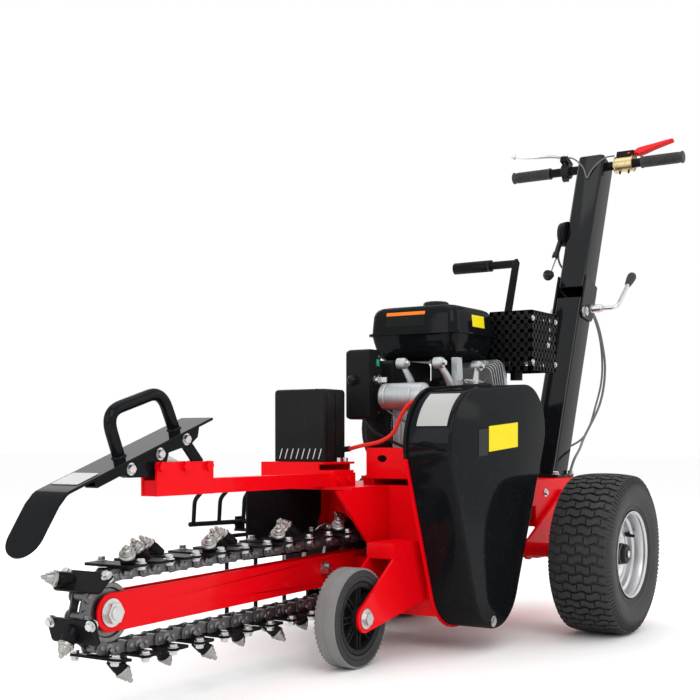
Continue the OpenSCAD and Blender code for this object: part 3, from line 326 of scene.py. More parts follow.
class Shape:  # gathers mesh parts in millimetres, in one frame
    def __init__(self, where=machine):
        self.mesh = bmesh.new()
        self.where = where

    def add(self, points, faces, local=None):
        matrix = self.where @ local if local else self.where
        corners = [self.mesh.verts.new(matrix @ Vector(point)) for point in points]
        for face in faces:
            self.mesh.faces.new([corners[i] for i in face])

    def block(self, low, high, local=None):
        points = [(x, y, z) for x in (low[0], high[0]) for y in (low[1], high[1]) for z in (low[2],
            high[2])]
        faces = [(0, 1, 3, 2), (4, 6, 7, 5), (0, 4, 5, 1), (2, 3, 7, 6), (0, 2, 6, 4), (1, 5, 7, 3)]
        self.add(points, faces, local)

    def loft(self, rings, local=None, caps=(True, True), closed=False):  # skins rings of equal length
        count = len(rings[0])
        points = [point for ring in rings for point in ring]
        faces = []
        spans = len(rings) if closed else len(rings) - 1
        for i in range(spans):
            first = i * count
            second = (i + 1) % len(rings) * count
            for k in range(count):
                after = (k + 1) % count
                faces.append((first + k, first + after, second + after, second + k))
        if caps[0] and not closed:
            faces.append(tuple(range(count)))
        if caps[1] and not closed:
            faces.append(tuple(range(len(points) - count, len(points))))
        self.add(points, faces, local)

    def prism(self, outline, low, high, axis="y", local=None):
        self.loft([[spread(axis, u, v, level) for u, v in outline] for level in (low, high)], local)

    def lathe(self, profile, centre=(0, 0, 0), axis="y", steps=48, local=None, closed=False, lobes=0,
        dip=0):
        rings = []
        for radius, level in profile:
            ring = []
            for k in range(steps):
                angle = 2 * math.pi * k / steps
                reach = radius * (1 - dip * (0.5 - 0.5 * math.cos(lobes * angle))) if lobes else radius
                point = spread(axis, reach * math.cos(angle), reach * math.sin(angle), level)
                ring.append([a + b for a, b in zip(point, centre)])
            rings.append(ring)
        self.loft(rings, local, closed=closed)

    def tube(self, path, radius, sides=12, flat=1.0, local=None):  # sweeps a round bar along points
        path = [Vector(point) for point in path]
        radii = radius if isinstance(radius, list) else [radius] * len(path)
        rings = []
        side = None
        for i, point in enumerate(path):
            ahead = (path[min(i + 1, len(path) - 1)] - path[max(i - 1, 0)]).normalized()
            if side is None:
                side = ahead.cross((0, 1, 0) if abs(ahead.y) < 0.9 else (1, 0, 0)).normalized()
            side = (side - ahead * side.dot(ahead)).normalized()
            up = ahead.cross(side)
            ring = []
            for k in range(sides):
                angle = 2 * math.pi * k / sides
                ring.append(point + radii[i] * (math.cos(angle) * side + math.sin(angle) * flat * up))
            rings.append(ring)
        self.loft(rings, local)

    def bolt(self, centre, axis, radius, height, washer=1.5, local=None):  # height is signed along the axis
        sign = 1 if height > 0 else -1
        top = abs(height)
        disc = [(radius * 0.3, 0), (radius * washer, 0), (radius * washer, top * 0.14),
            (radius * 0.3, top * 0.22)]
        crown = [
            (radius * 0.94, top * 0.16), (radius, top * 0.28), (radius, top * 0.84),
            (radius * 0.84, top), (radius * 0.3, top)]
        if washer > 1:
            self.lathe([(r, sign * h) for r, h in disc], centre, axis, 24, local)
        self.lathe([(r, sign * h) for r, h in crown], centre, axis, 6, local)

    def rivet(self, centre, axis, radius, height, local=None):
        profile = [(radius, 0), (radius, height * 0.45), (radius * 0.78, height * 0.85),
            (radius * 0.3, height)]
        self.lathe(profile, centre, axis, 14, local)

    def ball(self, centre, radius, axis="z", steps=24, local=None, lobes=0, dip=0):
        profile = []
        for k in range(1, 12):
            angle = math.pi * k / 12
            profile.append((radius * math.sin(angle), -radius * math.cos(angle)))
        self.lathe(profile, centre, axis, steps, local, lobes=lobes, dip=dip)

    def done(self, name, body, slot, replaces=(), finish=None, edge=0.0, angle=32, rounds=2):
        bmesh.ops.recalc_face_normals(self.mesh, faces=self.mesh.faces)
        data = bpy.data.meshes.new(name)
        self.mesh.to_mesh(data)
        self.mesh.free()
        piece = bpy.data.objects.new(name, data)
        bpy.context.scene.collection.objects.link(piece)
        data.materials.append(finish or finishes[slot])
        data.shade_smooth()
        data.set_sharp_from_angle(angle=math.radians(angle))
        if edge:
            softenEdges(piece, edge, rounds)
        if body:
            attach(piece, body)
        if replaces:
            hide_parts(*replaces)
        return piece


def softenEdges(piece, edge, rounds=2):
    bevel = piece.modifiers.new("edges", "BEVEL")
    bevel.width = edge / 1000
    bevel.segments = rounds
    bevel.limit_method = "ANGLE"
    bevel.angle_limit = math.radians(32)
    bevel.harden_normals = True
    bevel.use_clamp_overlap = True


def spread(axis, u, v, level):  # a point of an outline (u, v) at a level along the axis
    return {"x": (level, u, v), "y": (u, level, v), "z": (u, v, level)}[axis]


def circle(x, z, radius, start=0, end=360, steps=24):
    count = steps if end - start < 360 else steps - 1
    angles = [math.radians(start + (end - start) * k / steps) for k in range(count + 1)]
    return [(x + radius * math.cos(a), z + radius * math.sin(a)) for a in angles]


def roundedBox(halfX, halfY, radius, steps=6, x=0, y=0):
    corners = [(1, 1, 0), (-1, 1, 90), (-1, -1, 180), (1, -1, 270)]
    outline = []
    for sx, sy, start in corners:
        centre = (x + sx * (halfX - radius), y + sy * (halfY - radius))
        outline += circle(*centre, radius, start, start + 90, steps)
    return outline


def curved(points, steps=6):  # a smooth run through the points
    points = [Vector(point) for point in points]
    ends = [2 * points[0] - points[1], *points, 2 * points[-1] - points[-2]]
    run = []
    for i in range(len(points) - 1):
        p, q, r, s = ends[i:i + 4]
        for k in range(steps):
            t = k / steps
            run.append(0.5 * (
                2 * q + (r - p) * t + (2 * p - 5 * q + 4 * r - s) * t * t + (3 * q - p - 3 * r + s) * t ** 3))
    return [*run, points[-1]]


def bent(points, radius, steps=6):  # straight runs joined by round bends
    points = [Vector(point) for point in points]
    run = [points[0]]
    for before, here, after in zip(points, points[1:], points[2:]):
        back = (before - here).normalized()
        ahead = (after - here).normalized()
        room = min(radius, (before - here).length * 0.45, (after - here).length * 0.45)
        first = here + back * room
        last = here + ahead * room
        for k in range(steps + 1):
            t = k / steps
            run.append(first * (1 - t) ** 2 + here * 2 * t * (1 - t) + last * t * t)
    return [*run, points[-1]]


# Drive wheels.

turfTyre = {
    "rows": 54, "pitchAcross": 34, "blockWide": 31, "blockLong": 14.5, "wave": 3.2,
    "crown": 180.5, "tread": 187.4, "shoulder": 66, "ribs": 108,
}
tyreSection = [
    (96, 50), (99, 59), (105, 65), (111, 67), (113, 69.5), (116, 70), (119, 69), (128, 71.5), (140, 74),
    (152, 74.8), (160, 74), (168, 71.5), (175, 68), (179, 63), (180.5, 52), (181, 26), (181.2, 0)]


def treadBlock(shape, look, start, end, angle):
    steps = 4
    rings = []
    for k in range(steps + 1):
        across = start + (end - start) * k / steps
        drop = 5.5 * (abs(across) / look["shoulder"]) ** 2.5
        sway = look["wave"] * math.sin(2 * math.pi * across / look["pitchAcross"])
        ring = []
        for side, radius, lean in (
                (-1, look["crown"] - drop - 2, 0.8), (-1, look["tread"] - drop, 0),
                (1, look["tread"] - drop, 0), (1, look["crown"] - drop - 2, 0.8)):
            along = side * (look["blockLong"] / 2 + lean) + sway
            a = angle + along / look["tread"]
            ring.append((radius * math.cos(a), across, radius * math.sin(a)))
        rings.append(ring)
    shape.loft(rings)


def driveTyre(name, node, body):
    look = turfTyre
    shape = Shape(shift(*middle(node)) @ Matrix.Scale(0.001, 4))
    section = tyreSection + [(r, -y) for r, y in reversed(tyreSection[:-1])]
    shape.lathe(section, steps=108, closed=True)
    for row in range(look["rows"]):
        angle = 2 * math.pi * row / look["rows"]
        offset = (row % 2) * look["pitchAcross"] / 2
        for column in range(-3, 3):
            centre = (column + 0.5) * look["pitchAcross"] + offset
            start = max(centre - look["blockWide"] / 2, -look["shoulder"])
            end = min(centre + look["blockWide"] / 2, look["shoulder"])
            if end - start > 6:
                treadBlock(shape, look, start, end, angle)
    for rib in range(look["ribs"]):
        a = 2 * math.pi * rib / look["ribs"]
        half = 0.011
        for side in (-1, 1):
            rings = []
            for radius, out in ((156, 74.9), (168, 73.4), (178, 68), (182, 63.5)):
                low = radius - 3
                rings.append([
                    (r * math.cos(a + s * half), side * (out - drop), r * math.sin(a + s * half))
                    for s, r, drop in ((-1, low, 4), (-1, radius, 0), (1, radius, 0), (1, low, 4))])
            shape.loft(rings)
    shape.done(name, body, "tyre_rubber", [node], angle=28)


rimSection = [
    (24, 44), (24, 17), (40, 15.5), (56, 19), (64, 24), (72, 25), (78, 20), (82, 24), (84, 34), (90, 38),
    (91, 52), (94, 58), (99, 60.5), (101, 63.5), (100.5, 66.5), (98.5, 67), (95, 63), (95.5, 56)]


def driveRim(side, node, body, name):
    centre = middle(node)
    shape = Shape(shift(centre.x, axleMiddle.y + side * abs(middle("tyre_right").y - axleMiddle.y),
        centre.z)
                  @ Matrix.Scale(0.001, 4))
    outer = [(r, side * y) for r, y in rimSection]
    shape.lathe(outer + [(r, -y) for r, y in reversed(outer)], steps=96, closed=True)
    shape.done(name + "Dish", body, "grey_paint", [node], angle=24)
    shape = Shape(shape.where)
    for k in range(4):
        a = math.radians(45 + 90 * k)
        shape.bolt((44 * math.cos(a), side * 16, 44 * math.sin(a)), "y", 7, side * 7, 1.3)
    shape.bolt((0, side * 54, 0), "y", 9, side * 4, 0)
    shape.done(name + "Bolts", body, "zinc_steel")
    shape = Shape(shape.where)
    cap = [(24.5, 18), (25, 40), (23, 44), (23, 50), (20, 54), (11, 54.5), (8, 53)]
    shape.lathe([(r, side * y) for r, y in cap])
    shape.tube([(70, side * 22, 40), (68, side * 34, 38), (67, side * 46, 37)], [5, 4, 3.5], 10)
    shape.done(name + "Cap", body, "black_plastic")


driveTyre("turfTyreLeft", "tyre_left", "left_wheel")
driveTyre("turfTyreRight", "tyre_right", "right_wheel")
driveRim(-1, "rim_left", "left_wheel", "rimLeft")
driveRim(1, "rim_right", "right_wheel", "rimRight")
print("drive wheels made")


# Small wheel.

smallWheel = {"spokes": 8, "gap": 5.5, "rib": 2.4}


def supportWheel():
    shape = Shape(shift(*middle("support_tyre")) @ Matrix.Scale(0.001, 4))
    side = [(73.4, 17), (74, 22), (77, 23.6), (81, 23.8), (82.5, 22.4), (84, 23.8), (91, 23.9), (94, 23),
        (96, 22.4)]
    shape.lathe(side + [(94, 20)] + [(94, -20)] + [(r, -y) for r, y in reversed(side)], steps=96,
        closed=True)
    shape.done("smallWheelSides", "small_wheel", "tyre_rubber", angle=28)
    shape = Shape(shape.where)
    tread = [(94, 22), (96.5, 22.8), (98.4, 21.6), (99.4, 18), (99.4, 1.2), (98.6, 0.6)]
    shape.lathe(tread + [(r, -y) for r, y in reversed(tread)], steps=96, closed=True)
    for k in range(60):
        a = 6 * k
        shape.block((97.6, 19.6, -1.6), (99.3, 22.9, 1.6), turn(a, "Y"))
        shape.block((97.6, -22.9, -1.6), (99.3, -19.6, 1.6), turn(a + 3, "Y"))
    shape.done("smallWheelTread", "small_wheel", "tread_grey", ["support_tyre"], angle=28)
    shape = Shape(shape.where)
    ring = [(61, 18), (62, 21), (64, 22), (71, 22), (73.2, 20)]
    shape.lathe(ring + [(r, -y) for r, y in reversed(ring)], steps=96, closed=True)
    shape.lathe([(8.2, 22), (20, 22), (23, 20), (24, 12), (24, -12), (23, -20), (20, -22), (8.2, -22)],
        closed=True)
    shape.lathe([(22, 3), (63, 2), (63, -2), (22, -3)], steps=96, closed=True)
    for k in range(smallWheel["spokes"]):
        local = turn(360 / smallWheel["spokes"] * k, "Y")
        for s in (-1, 1):
            low = s * smallWheel["gap"] - smallWheel["rib"] / 2
            shape.block((20, -17, low), (63, 17, low + smallWheel["rib"]), local)
        shape.block((38, -14, -5), (41, 14, 5), local)
    shape.done("smallWheelHub", "small_wheel", "black_plastic", ["support_hub"], edge=0.7)


supportWheel()
print("small wheel made")


# Chain, teeth and nose.

chainLook = {
    "radius": 62, "links": 60, "start": 0.25, "innerHigh": 10.8, "outerHigh": 11.8, "waist": 0.8,
    "reach": 60, "sides": (1, 0, -1),
}
loopLength = 2 * boomLength + 2 * math.pi * chainLook["radius"]


def chainPoint(distance):  # a place on the chain's line, in the boom's (x, z) plane
    radius = chainLook["radius"]
    bend = math.pi * radius
    distance %= loopLength
    if distance < boomLength:
        return -distance, radius
    if distance < boomLength + bend:
        a = (distance - boomLength) / radius
        return -boomLength - radius * math.sin(a), radius * math.cos(a)
    if distance < 2 * boomLength + bend:
        return distance - 2 * boomLength - bend, -radius
    a = (distance - 2 * boomLength - bend) / radius
    return radius * math.sin(a), -radius * math.cos(a)


def chainPin(i):
    return chainPoint((i + chainLook["start"]) * loopLength / chainLook["links"])


def between(first, second):  # frame half way between two pins: x along the chain
    angle = math.degrees(math.atan2(second[1] - first[1], second[0] - first[0]))
    return shift((first[0] + second[0]) / 2, 0, (first[1] + second[1]) / 2) @ turn(-angle, "Y")


def linkOutline(half, high):  # the figure-eight plate of a chain link
    waist = high * chainLook["waist"]
    right = circle(half, 0, high, -72, 72, 12)
    left = circle(-half, 0, high, 108, 252, 12)
    return right + [(0, waist)] + left + [(0, -waist)]


def station(k):  # frame of a tooth station: z outwards from the chain
    return between(chainPin(2 * k + 1), chainPin(2 * k + 2)) @ turn(180, "Z") @ turn(180, "X")


def diggingChain():
    plates = Shape(boom)
    pins = Shape(boom)
    for i in range(chainLook["links"]):
        first, second = chainPin(i), chainPin(i + 1)
        half = math.dist(first, second) / 2
        local = between(first, second)
        near, thick, high = ((11.5, 3.4, chainLook["innerHigh"]),
            (15.2, 3.6, chainLook["outerHigh"]))[i % 2]
        for low in (near, -near - thick):
            plates.prism(linkOutline(half, high), low, low + thick, local=local)
        plates.lathe([(5, -11), (8.5, -10.6), (8.5, 10.6), (5, 11)], (first[0], 0, first[1]), steps=20)
        for side in (-1, 1):
            pins.rivet((first[0], side * 18.6, first[1]), "y", 5.2, side * 2.6)
    plates.done("chainLinks", "frame", "chain_steel", ["digging_chain"], edge=0.6)
    stations = chainLook["links"] // 2
    for k in range(stations):
        local = station(k)
        for side in (-1, 1):
            pins.lathe([(9.5, side * 18.6), (9, side * 20), (5, side * 21.2), (4, side * 21.2)], steps=24,
                local=local)
            pins.bolt((0, side * 20.6, 3), "y", 6, side * 6, 0, local)
    pins.done("chainRivets", "frame", "bare_iron")


def toothFrame(k):
    side = chainLook["sides"][k % 3]
    return station(k) @ shift(0, side * 30, 18) @ turn(-38, "Y") @ turn(-26 * side, "X")


def teeth():
    plates = Shape(boom)
    bullets = Shape(boom)
    bolts = Shape(boom)
    reach = chainLook["reach"] - 38
    for k in range(chainLook["links"] // 2):
        local = station(k)
        plates.prism(roundedBox(22, 54, 7, 4), 13, 18, "z", local)
        plates.block((-13, -21, 11.6), (13, 21, 13.2), local)
        tooth = toothFrame(k)
        holder = [(9, -6), (12.5, -4), (12.8, 4), (12.8, 15), (12.2, 17), (12.2, 19), (12.8, 20),
            (12.4, reach)]
        plates.lathe(holder, axis="z", steps=24, local=tooth)
        plates.block((-12.4, -7, -4), (4, 7, reach - 9), tooth)
        profile = [
            (6, reach), (13.8, reach), (14.2, reach + 2), (14.2, reach + 4), (12.6, reach + 6),
            (11.2, reach + 6.6), (11, reach + 10), (9.6, reach + 11), (9.4, reach + 13),
                (8.6, reach + 13.6),
            (8.0, reach + 17), (6.6, reach + 18), (4.6, reach + 18.6), (4.2, reach + 23),
                (2.6, reach + 25.4),
            (1, reach + 26)]
        bullets.lathe(profile, axis="z", steps=28, local=tooth)
        for y in (-46, 46):
            bolts.bolt((14, y, 18), "z", 7, 8, 1.4, local)
            bolts.bolt((14, y, 13), "z", 7.4, -6, 1.3, local)
    plates.done("toothHolders", "frame", "black_steel", ["tooth_plates"], edge=0.9)
    bullets.done("bulletTips", "frame", "tooth_steel", ["bullet_teeth"], angle=26)
    bolts.done("toothBolts", "frame", "zinc_steel")


def noseWheel():
    shape = Shape(boom)
    profile = [(12.1, 9.6), (20, 9.6), (22, 6), (40, 6), (43, 9.4), (50, 9.8), (51.4, 8.6), (51.4, 3),
        (49, 0)]
    centre = (-boomLength, 0, 0)
    shape.lathe(profile + [(r, -y) for r, y in reversed(profile[:-1])], centre, steps=72, closed=True)
    shape.done("noseRoller", "nose_wheel", "bare_iron", ["nose_roller"], angle=26)
    shape = Shape(boom)
    shape.lathe([(24, -16.4), (24, -18.2), (14, -18.6)], centre, steps=32)
    shape.lathe([(15, -16.3), (15, -17), (9, -17.2)], (-232, 0, 8), steps=32)
    shape.done("noseWashers", "frame", "zinc_steel")


diggingChain()
teeth()
noseWheel()
print("chain and teeth made")


# Belt guard.

guardLook = {
    "circles": ((-456, 440, 120), (-208, 478, 100), (-361, 160, 112)), "round": 7, "wall": 3, "steps": 180,
    "plate": (-404, -262, 428, 482), "badge": (-452, -410, 418, 474),
}


def guardOutline(grow, steps=None, start=0, end=360):  # the teardrop round three circles, grown evenly
    count = steps or guardLook["steps"]
    outline = []
    for k in range(count if end - start == 360 else count + 1):
        a = math.radians(start + (end - start) * k / count)
        ahead = (math.cos(a), math.sin(a))
        x, z, radius = max(guardLook["circles"], key=lambda c: c[0] * ahead[0] + c[1] * ahead[1] + c[2])
        outline.append((x + (radius + grow) * ahead[0], z + (radius + grow) * ahead[1]))
    return outline


def slantedPlate(shape, low, high, thick, rise, y):  # a thin plate on the guard's face, leaning with it
    shape.loft([
        [(low[0], level, low[1]), (high[0], level, low[1] + rise), (high[0], level, high[1] + rise),
         (low[0], level, high[1])] for level in (y, y - thick)])


def beltGuard():
    low, high = (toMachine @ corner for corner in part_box("belt_guard"))
    near, far = min(low.y, high.y), max(low.y, high.y)
    curve = guardLook["round"]
    levels = [(far, 0), (near + curve, 0)]
    levels += [
        (near + curve * (1 - math.sin(math.radians(a))), -curve * (1 - math.cos(math.radians(a))))
        for a in (22, 45, 67, 90)]
    wall = guardLook["wall"]
    levels = [(near + wall, -curve - wall), (near + curve, -wall), (far, -wall)] + levels
    shape = Shape()
    shape.loft([[(x, y, z) for x, z in guardOutline(grow)] for y, grow in levels])
    shape.done("beltGuardShell", "frame", "black_gloss_paint", ["belt_guard"], angle=40)
    shape = Shape()
    rim = guardOutline(5.7, 90, -30, 192), guardOutline(0.2, 90, -30, 192)
    shape.loft([
        [(x, y, z) for x, z in rim[0]] + [(x, y, z) for x, z in reversed(rim[1])]
        for y in (far - 0.6, far + 6.6)])
    shape.done("guardTopLip", "frame", "black_gloss_paint", angle=40)
    left, right, bottom, top = guardLook["plate"]
    shape = Shape()
    slantedPlate(shape, (left, bottom), (right, top), 0.8, 10, near)
    shape.done("guardPlate", "frame", "black_gloss_paint", finish=plateYellow)
    left, right, bottom, top = guardLook["badge"]
    shape = Shape()
    slantedPlate(shape, (left, bottom), (right, top), 0.8, 3, near)
    shape.done("guardStrip", "frame", "black_plastic")
    shape = Shape()
    label = guardOutline(0.7, 24, 116, 160), guardOutline(-1, 24, 116, 160)
    shape.loft([
        [(x, y, z) for x, z in label[0]] + [(x, y, z) for x, z in reversed(label[1])]
        for y in (near + 12, near + 82)])
    shape.done("guardLabel", "frame", "black_gloss_paint", finish=plateGrey)


beltGuard()


# Fuel tank.

tankLook = {"corner": 26, "flange": 703.5, "shift": 3, "grow": 1, "cap": (-126, 100, 771)}


def fuelTank():
    low, high = (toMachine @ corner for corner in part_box("fuel_tank"))
    x, y = (low.x + high.x) / 2, (low.y + high.y) / 2
    x += tankLook["shift"]
    halfX, halfY = (high.x - low.x) / 2 + tankLook["grow"], abs(high.y - low.y) / 2 - 3
    seam = tankLook["flange"]
    levels = [
        (low.z + 0.5, 38), (low.z + 2, 25), (low.z + 8, 16), (low.z + 22, 10), (seam - 16, 4),
            (seam - 6, 2),
        (seam - 3, 1), (seam - 2.5, -5.4), (seam + 2.5, -5.4), (seam + 3, 1), (seam + 20, 2),
        (seam + 44, 4), (seam + 54, 7), (seam + 60, 12), (seam + 64, 20), (seam + 66.4, 34),
            (seam + 67, 60)]
    shape = Shape()
    shape.loft([
        [(u, v, z) for u, v in roundedBox(halfX - inset, halfY - inset,
            max(8, tankLook["corner"] - inset * 0.3), 8, x, y)]
        for z, inset in levels])
    capX, capY, capZ = tankLook["cap"]
    neck = [(44, seam + 62), (42, seam + 67.6), (34, seam + 68.4), (12, seam + 68.4)]
    shape.lathe(neck, (capX, capY, 0), "z", 64)
    for across in (-70, -50, -30, 30, 50, 70):  # low ribs over the top
        shape.tube([(x + 78, y + across, seam + 62), (x + 30, y + across, seam + 66),
            (x - 76, y + across, seam + 63)],
                   [1.5, 2.8, 1.5], 8)
    shape.done("fuelTankShell", "frame", "black_gloss_paint", ["fuel_tank"], angle=38)
    shape = Shape()
    side = x - halfX
    shape.loft([
        [(side + 2.0 - out, y + 68, seam + 17), (side + 2.0 - out, y - 36, seam + 17),
         (side + 4.0 - out, y - 36, seam + 43), (side + 4.0 - out, y + 68, seam + 43)] for out in (-1.4,
             0.9)])
    shape.done("tankLabel", "frame", "black_plastic", finish=finishes["black_satin_paint"])
    shape = Shape()
    shape.loft([
        [(side + 4.0 - out, y + 68, seam + 43), (side + 4.0 - out, y - 36, seam + 43),
         (side + 6.2 - out, y - 36, seam + 51), (side + 6.2 - out, y + 68, seam + 51)] for out in (-1.4,
             1.0)])
    shape.done("tankStripe", "frame", "orange_plastic")
    shape = Shape()
    front = y - halfY
    shape.loft([
        [(x - 18, front + 2.0 - out, seam + 17), (x + 44, front + 2.0 - out, seam + 17),
         (x + 44, front + 4.6 - out, seam + 45), (x - 18, front + 4.6 - out, seam + 45)] for out in (-1.4,
             1.0)])
    shape.done("tankPlate", "frame", "black_plastic", finish=plateYellow)
    shape = Shape()
    cap = [(30, 0.2), (31, 2), (31, 13), (29, 16), (24, 17.4), (8, 17.8), (1, 17.9)]
    shape.lathe(cap, (capX, capY, capZ), "z", 72, lobes=12, dip=0.07)
    shape.block((capX - 3.5, capY - 22, capZ + 16), (capX + 3.5, capY + 22, capZ + 17.9))
    shape.done("fuelCapKnob", "tank_cap", "black_plastic", ["fuel_cap"], edge=0.8)


fuelTank()
print("belt guard and tank made")


# Engine.

engineLook = {
    "finGap": 12, "fins": 6, "lean": -20,
    "arms": (((-244, -16, 545), (-300, -2, 628)), ((-286, 66, 545), (-318, 84, 628)),
        ((-204, -34, 545), (-166, -30, 626))),
}


def engineDetails():
    y = -28
    shape = Shape()
    for x in (-286, -262, -238, -150, -126):  # ribs on the crankcase's near side
        shape.block((x, y - 4, 400), (x + 4, y + 2, 538))
    shape.block((-296, y - 6, 522), (-114, y + 1, 534))
    for x, z in ((-292, 392), (-292, 528), (-204, 538), (-118, 528), (-118, 392)):
        shape.lathe([(9, -12), (11, -4), (11, 2)], (x, y, z), steps=20)
    for foot, top in engineLook["arms"]:  # the tank's cast arms
        knee = Vector(foot).lerp(Vector(top), 0.5) + Vector((0, -4, 4))
        shape.tube(curved([foot, knee, top], 6), [15 - k * 0.55 for k in range(13)], 14, 0.6)
        shape.lathe([(11, top[1] - 12), (13, top[1] - 8), (13, top[1] + 10)], (top[0], 0, top[2]), steps=24)
    for k in range(9):  # cooling ribs along the block's top and front
        shape.block((-298 + k * 21, -20, 544), (-295 + k * 21, 110, 553))
    for k in range(6):
        shape.block((-334, 14 + k * 16, 392), (-328, 18 + k * 16, 512))
    head = machine @ shift(crank.x, 0, crank.z) @ turn(engineLook["lean"], "Y")
    shape.where = head
    for k in range(engineLook["fins"]):
        x = 118 + k * engineLook["finGap"]
        shape.prism(roundedBox(52, 68, 14, 5, 0, 43), x + 1, x + 4, "x")
    shape.prism(roundedBox(40, 50, 10, 4, 0, 43), 186, 218, "x")
    shape.done("engineCastings", "frame", "cast_aluminium", edge=1.2)
    shape = Shape()
    for x, z in ((-292, 392), (-292, 528), (-204, 538), (-118, 528), (-118, 392)):
        shape.bolt((x, y - 12, z), "y", 6.5, -6, 1.3)
    for foot, top in engineLook["arms"]:
        shape.bolt((top[0], top[1] - 12, top[2]), "y", 7, -7, 1.4)
    for x, y2 in ((-410, -36), (-90, -36), (-410, 104), (-90, 104)):
        shape.lathe([(17, 374.2), (17, 376), (10, 376.4)], (x, y2, 0), "z", 28)
    shape.done("engineBolts", "frame", "zinc_steel")
    shape = Shape()
    spring = []
    for k in range(121):
        a = 2 * math.pi * k / 10
        spring.append((-236 + k * 0.62, y - 10 + 4.2 * math.cos(a), 588 + 4.2 * math.sin(a)))
    shape.tube(spring, 0.8, 6)
    shape.tube(curved([(-262, y - 10, 590), (-240, y - 10, 588)]), 1.2, 8)
    shape.tube(curved([(-161, y - 10, 588), (-140, y - 10, 592), (-120, y - 6, 604)]), 1.2, 8)
    shape.done("governorSpring", "frame", "bright_steel")
    shape = Shape()
    shape.tube(curved([(-300, 20, 560), (-318, -4, 540), (-330, -10, 500), (-322, -8, 450),
        (-300, -6, 420)]), 3, 10)
    shape.tube(curved([(-330, 160, 560), (-352, 100, 520), (-340, 20, 470), (-318, -6, 440)]), 2.6, 10)
    shape.tube(curved([(-60, 60, 600), (-20, 10, 590), (10, -10, 560), (20, 0, 530)]), 3.4, 10)
    shape.done("engineWires", "frame", "cable_sheath")
    shape = Shape()
    shape.prism(roundedBox(9, 16, 3, 3, -352, 418), -12, 14, "y")
    shape.prism(roundedBox(7, 10, 2, 3, -330, 424), -20, -2, "y")
    shape.done("wireJoint", "frame", "black_plastic", finish=greenPlastic, edge=1)


def starterMotor():
    shape = Shape()
    body = [(8, -9.8), (15, -9.8), (16, -8), (16, -1), (24, 0.4), (29, 4), (30, 8), (30, 26), (29, 27),
        (29, 30),
            (30, 31), (30, 92), (28.6, 94), (28.6, 97), (30, 98), (30, 108), (27, 111.8), (8, 111.9)]
    shape.lathe(body, (-352, 0, 552), steps=64)
    shape.prism([(-352, 522), (-316, 520), (-316, 536), (-340, 538)], 22, 88)
    shape.done("starterBody", "frame", "cast_aluminium", ["starter_motor"], edge=0.8)
    shape = Shape()
    for angle in (40, 220):
        a = math.radians(angle)
        x, z = -352 + 21 * math.cos(a), 552 + 21 * math.sin(a)
        shape.bolt((x, 2.5, z), "y", 4.2, -5, 0)
    shape.done("starterBolts", "frame", "zinc_steel")
    shape = Shape()
    shape.lathe([(4, -12.6), (7, -12), (8, -5), (8, 1)], (-352, 0, 545), steps=24)
    shape.done("starterBoot", "frame", "black_plastic")


def coverDetails():
    shape = Shape()
    profile = [(40, 119), (104, 119), (107.6, 123), (107.9, 176), (104, 186), (96, 190.5), (84, 191.9),
        (40, 191.9)]
    shape.lathe(profile, (crank.x, 0, crank.z), steps=96, closed=True)
    shape.prism(roundedBox(92, 47, 12, 5, -210, 592), 119, 189, "y")
    shape.done("fanHousingShell", "frame", "black_satin_paint", ["fan_housing"], edge=2, angle=40)
    shape = Shape()
    profile = [(20, 193), (89.6, 193), (90, 198), (88, 205), (82, 209), (60, 210), (44, 210.6), (42, 217),
        (38, 218)]
    shape.lathe(profile, (crank.x, 0, crank.z), steps=72, closed=True)
    for k in range(24):
        local = shift(crank.x, 0, crank.z) @ turn(15 * k, "Y")
        shape.block((50, 207, -1.6), (80, 211.4, 1.6), local)
    shape.prism(roundedBox(13, 15, 5, 4, -249, 575), 193, 206, "y")
    shape.done("recoilCoverShell", "frame", "black_plastic", ["recoil_cover"], edge=0.8, angle=40)
    shape = Shape()
    for k in range(46):  # fixing and vent holes round the fan housing, seen as bright rings
        a = math.radians(140 + k * 4)
        shape.lathe([(1.1, 117.6), (2.6, 117.9), (2.6, 118.8)],
                    (crank.x + 99 * math.cos(a), 0, crank.z + 99 * math.sin(a)), steps=10)
    shape.done("housingEyelets", "frame", "bright_steel")


mufflerLook = {"low": (-22, -106, 622), "high": (122, 8, 768), "thick": 3, "across": 7, "deep": 5,
    "rows": 6, "bar": 11}


def grille(shape, low, high, flat, across, rows, bar):  # a slotted sheet: upright and level bars
    low, high = Vector(low), Vector(high)
    wide = "yxx"["xyz".index(flat)]
    tall = "zzy"["xyz".index(flat)]
    for name, count in ((wide, across), (tall, rows)):
        span = getattr(high, name) - getattr(low, name)
        pitch = (span - bar) / count
        for k in range(count + 1):
            start, end = low.copy(), high.copy()
            setattr(start, name, getattr(low, name) + k * pitch)
            setattr(end, name, getattr(low, name) + k * pitch + bar)
            shape.block(start, end)


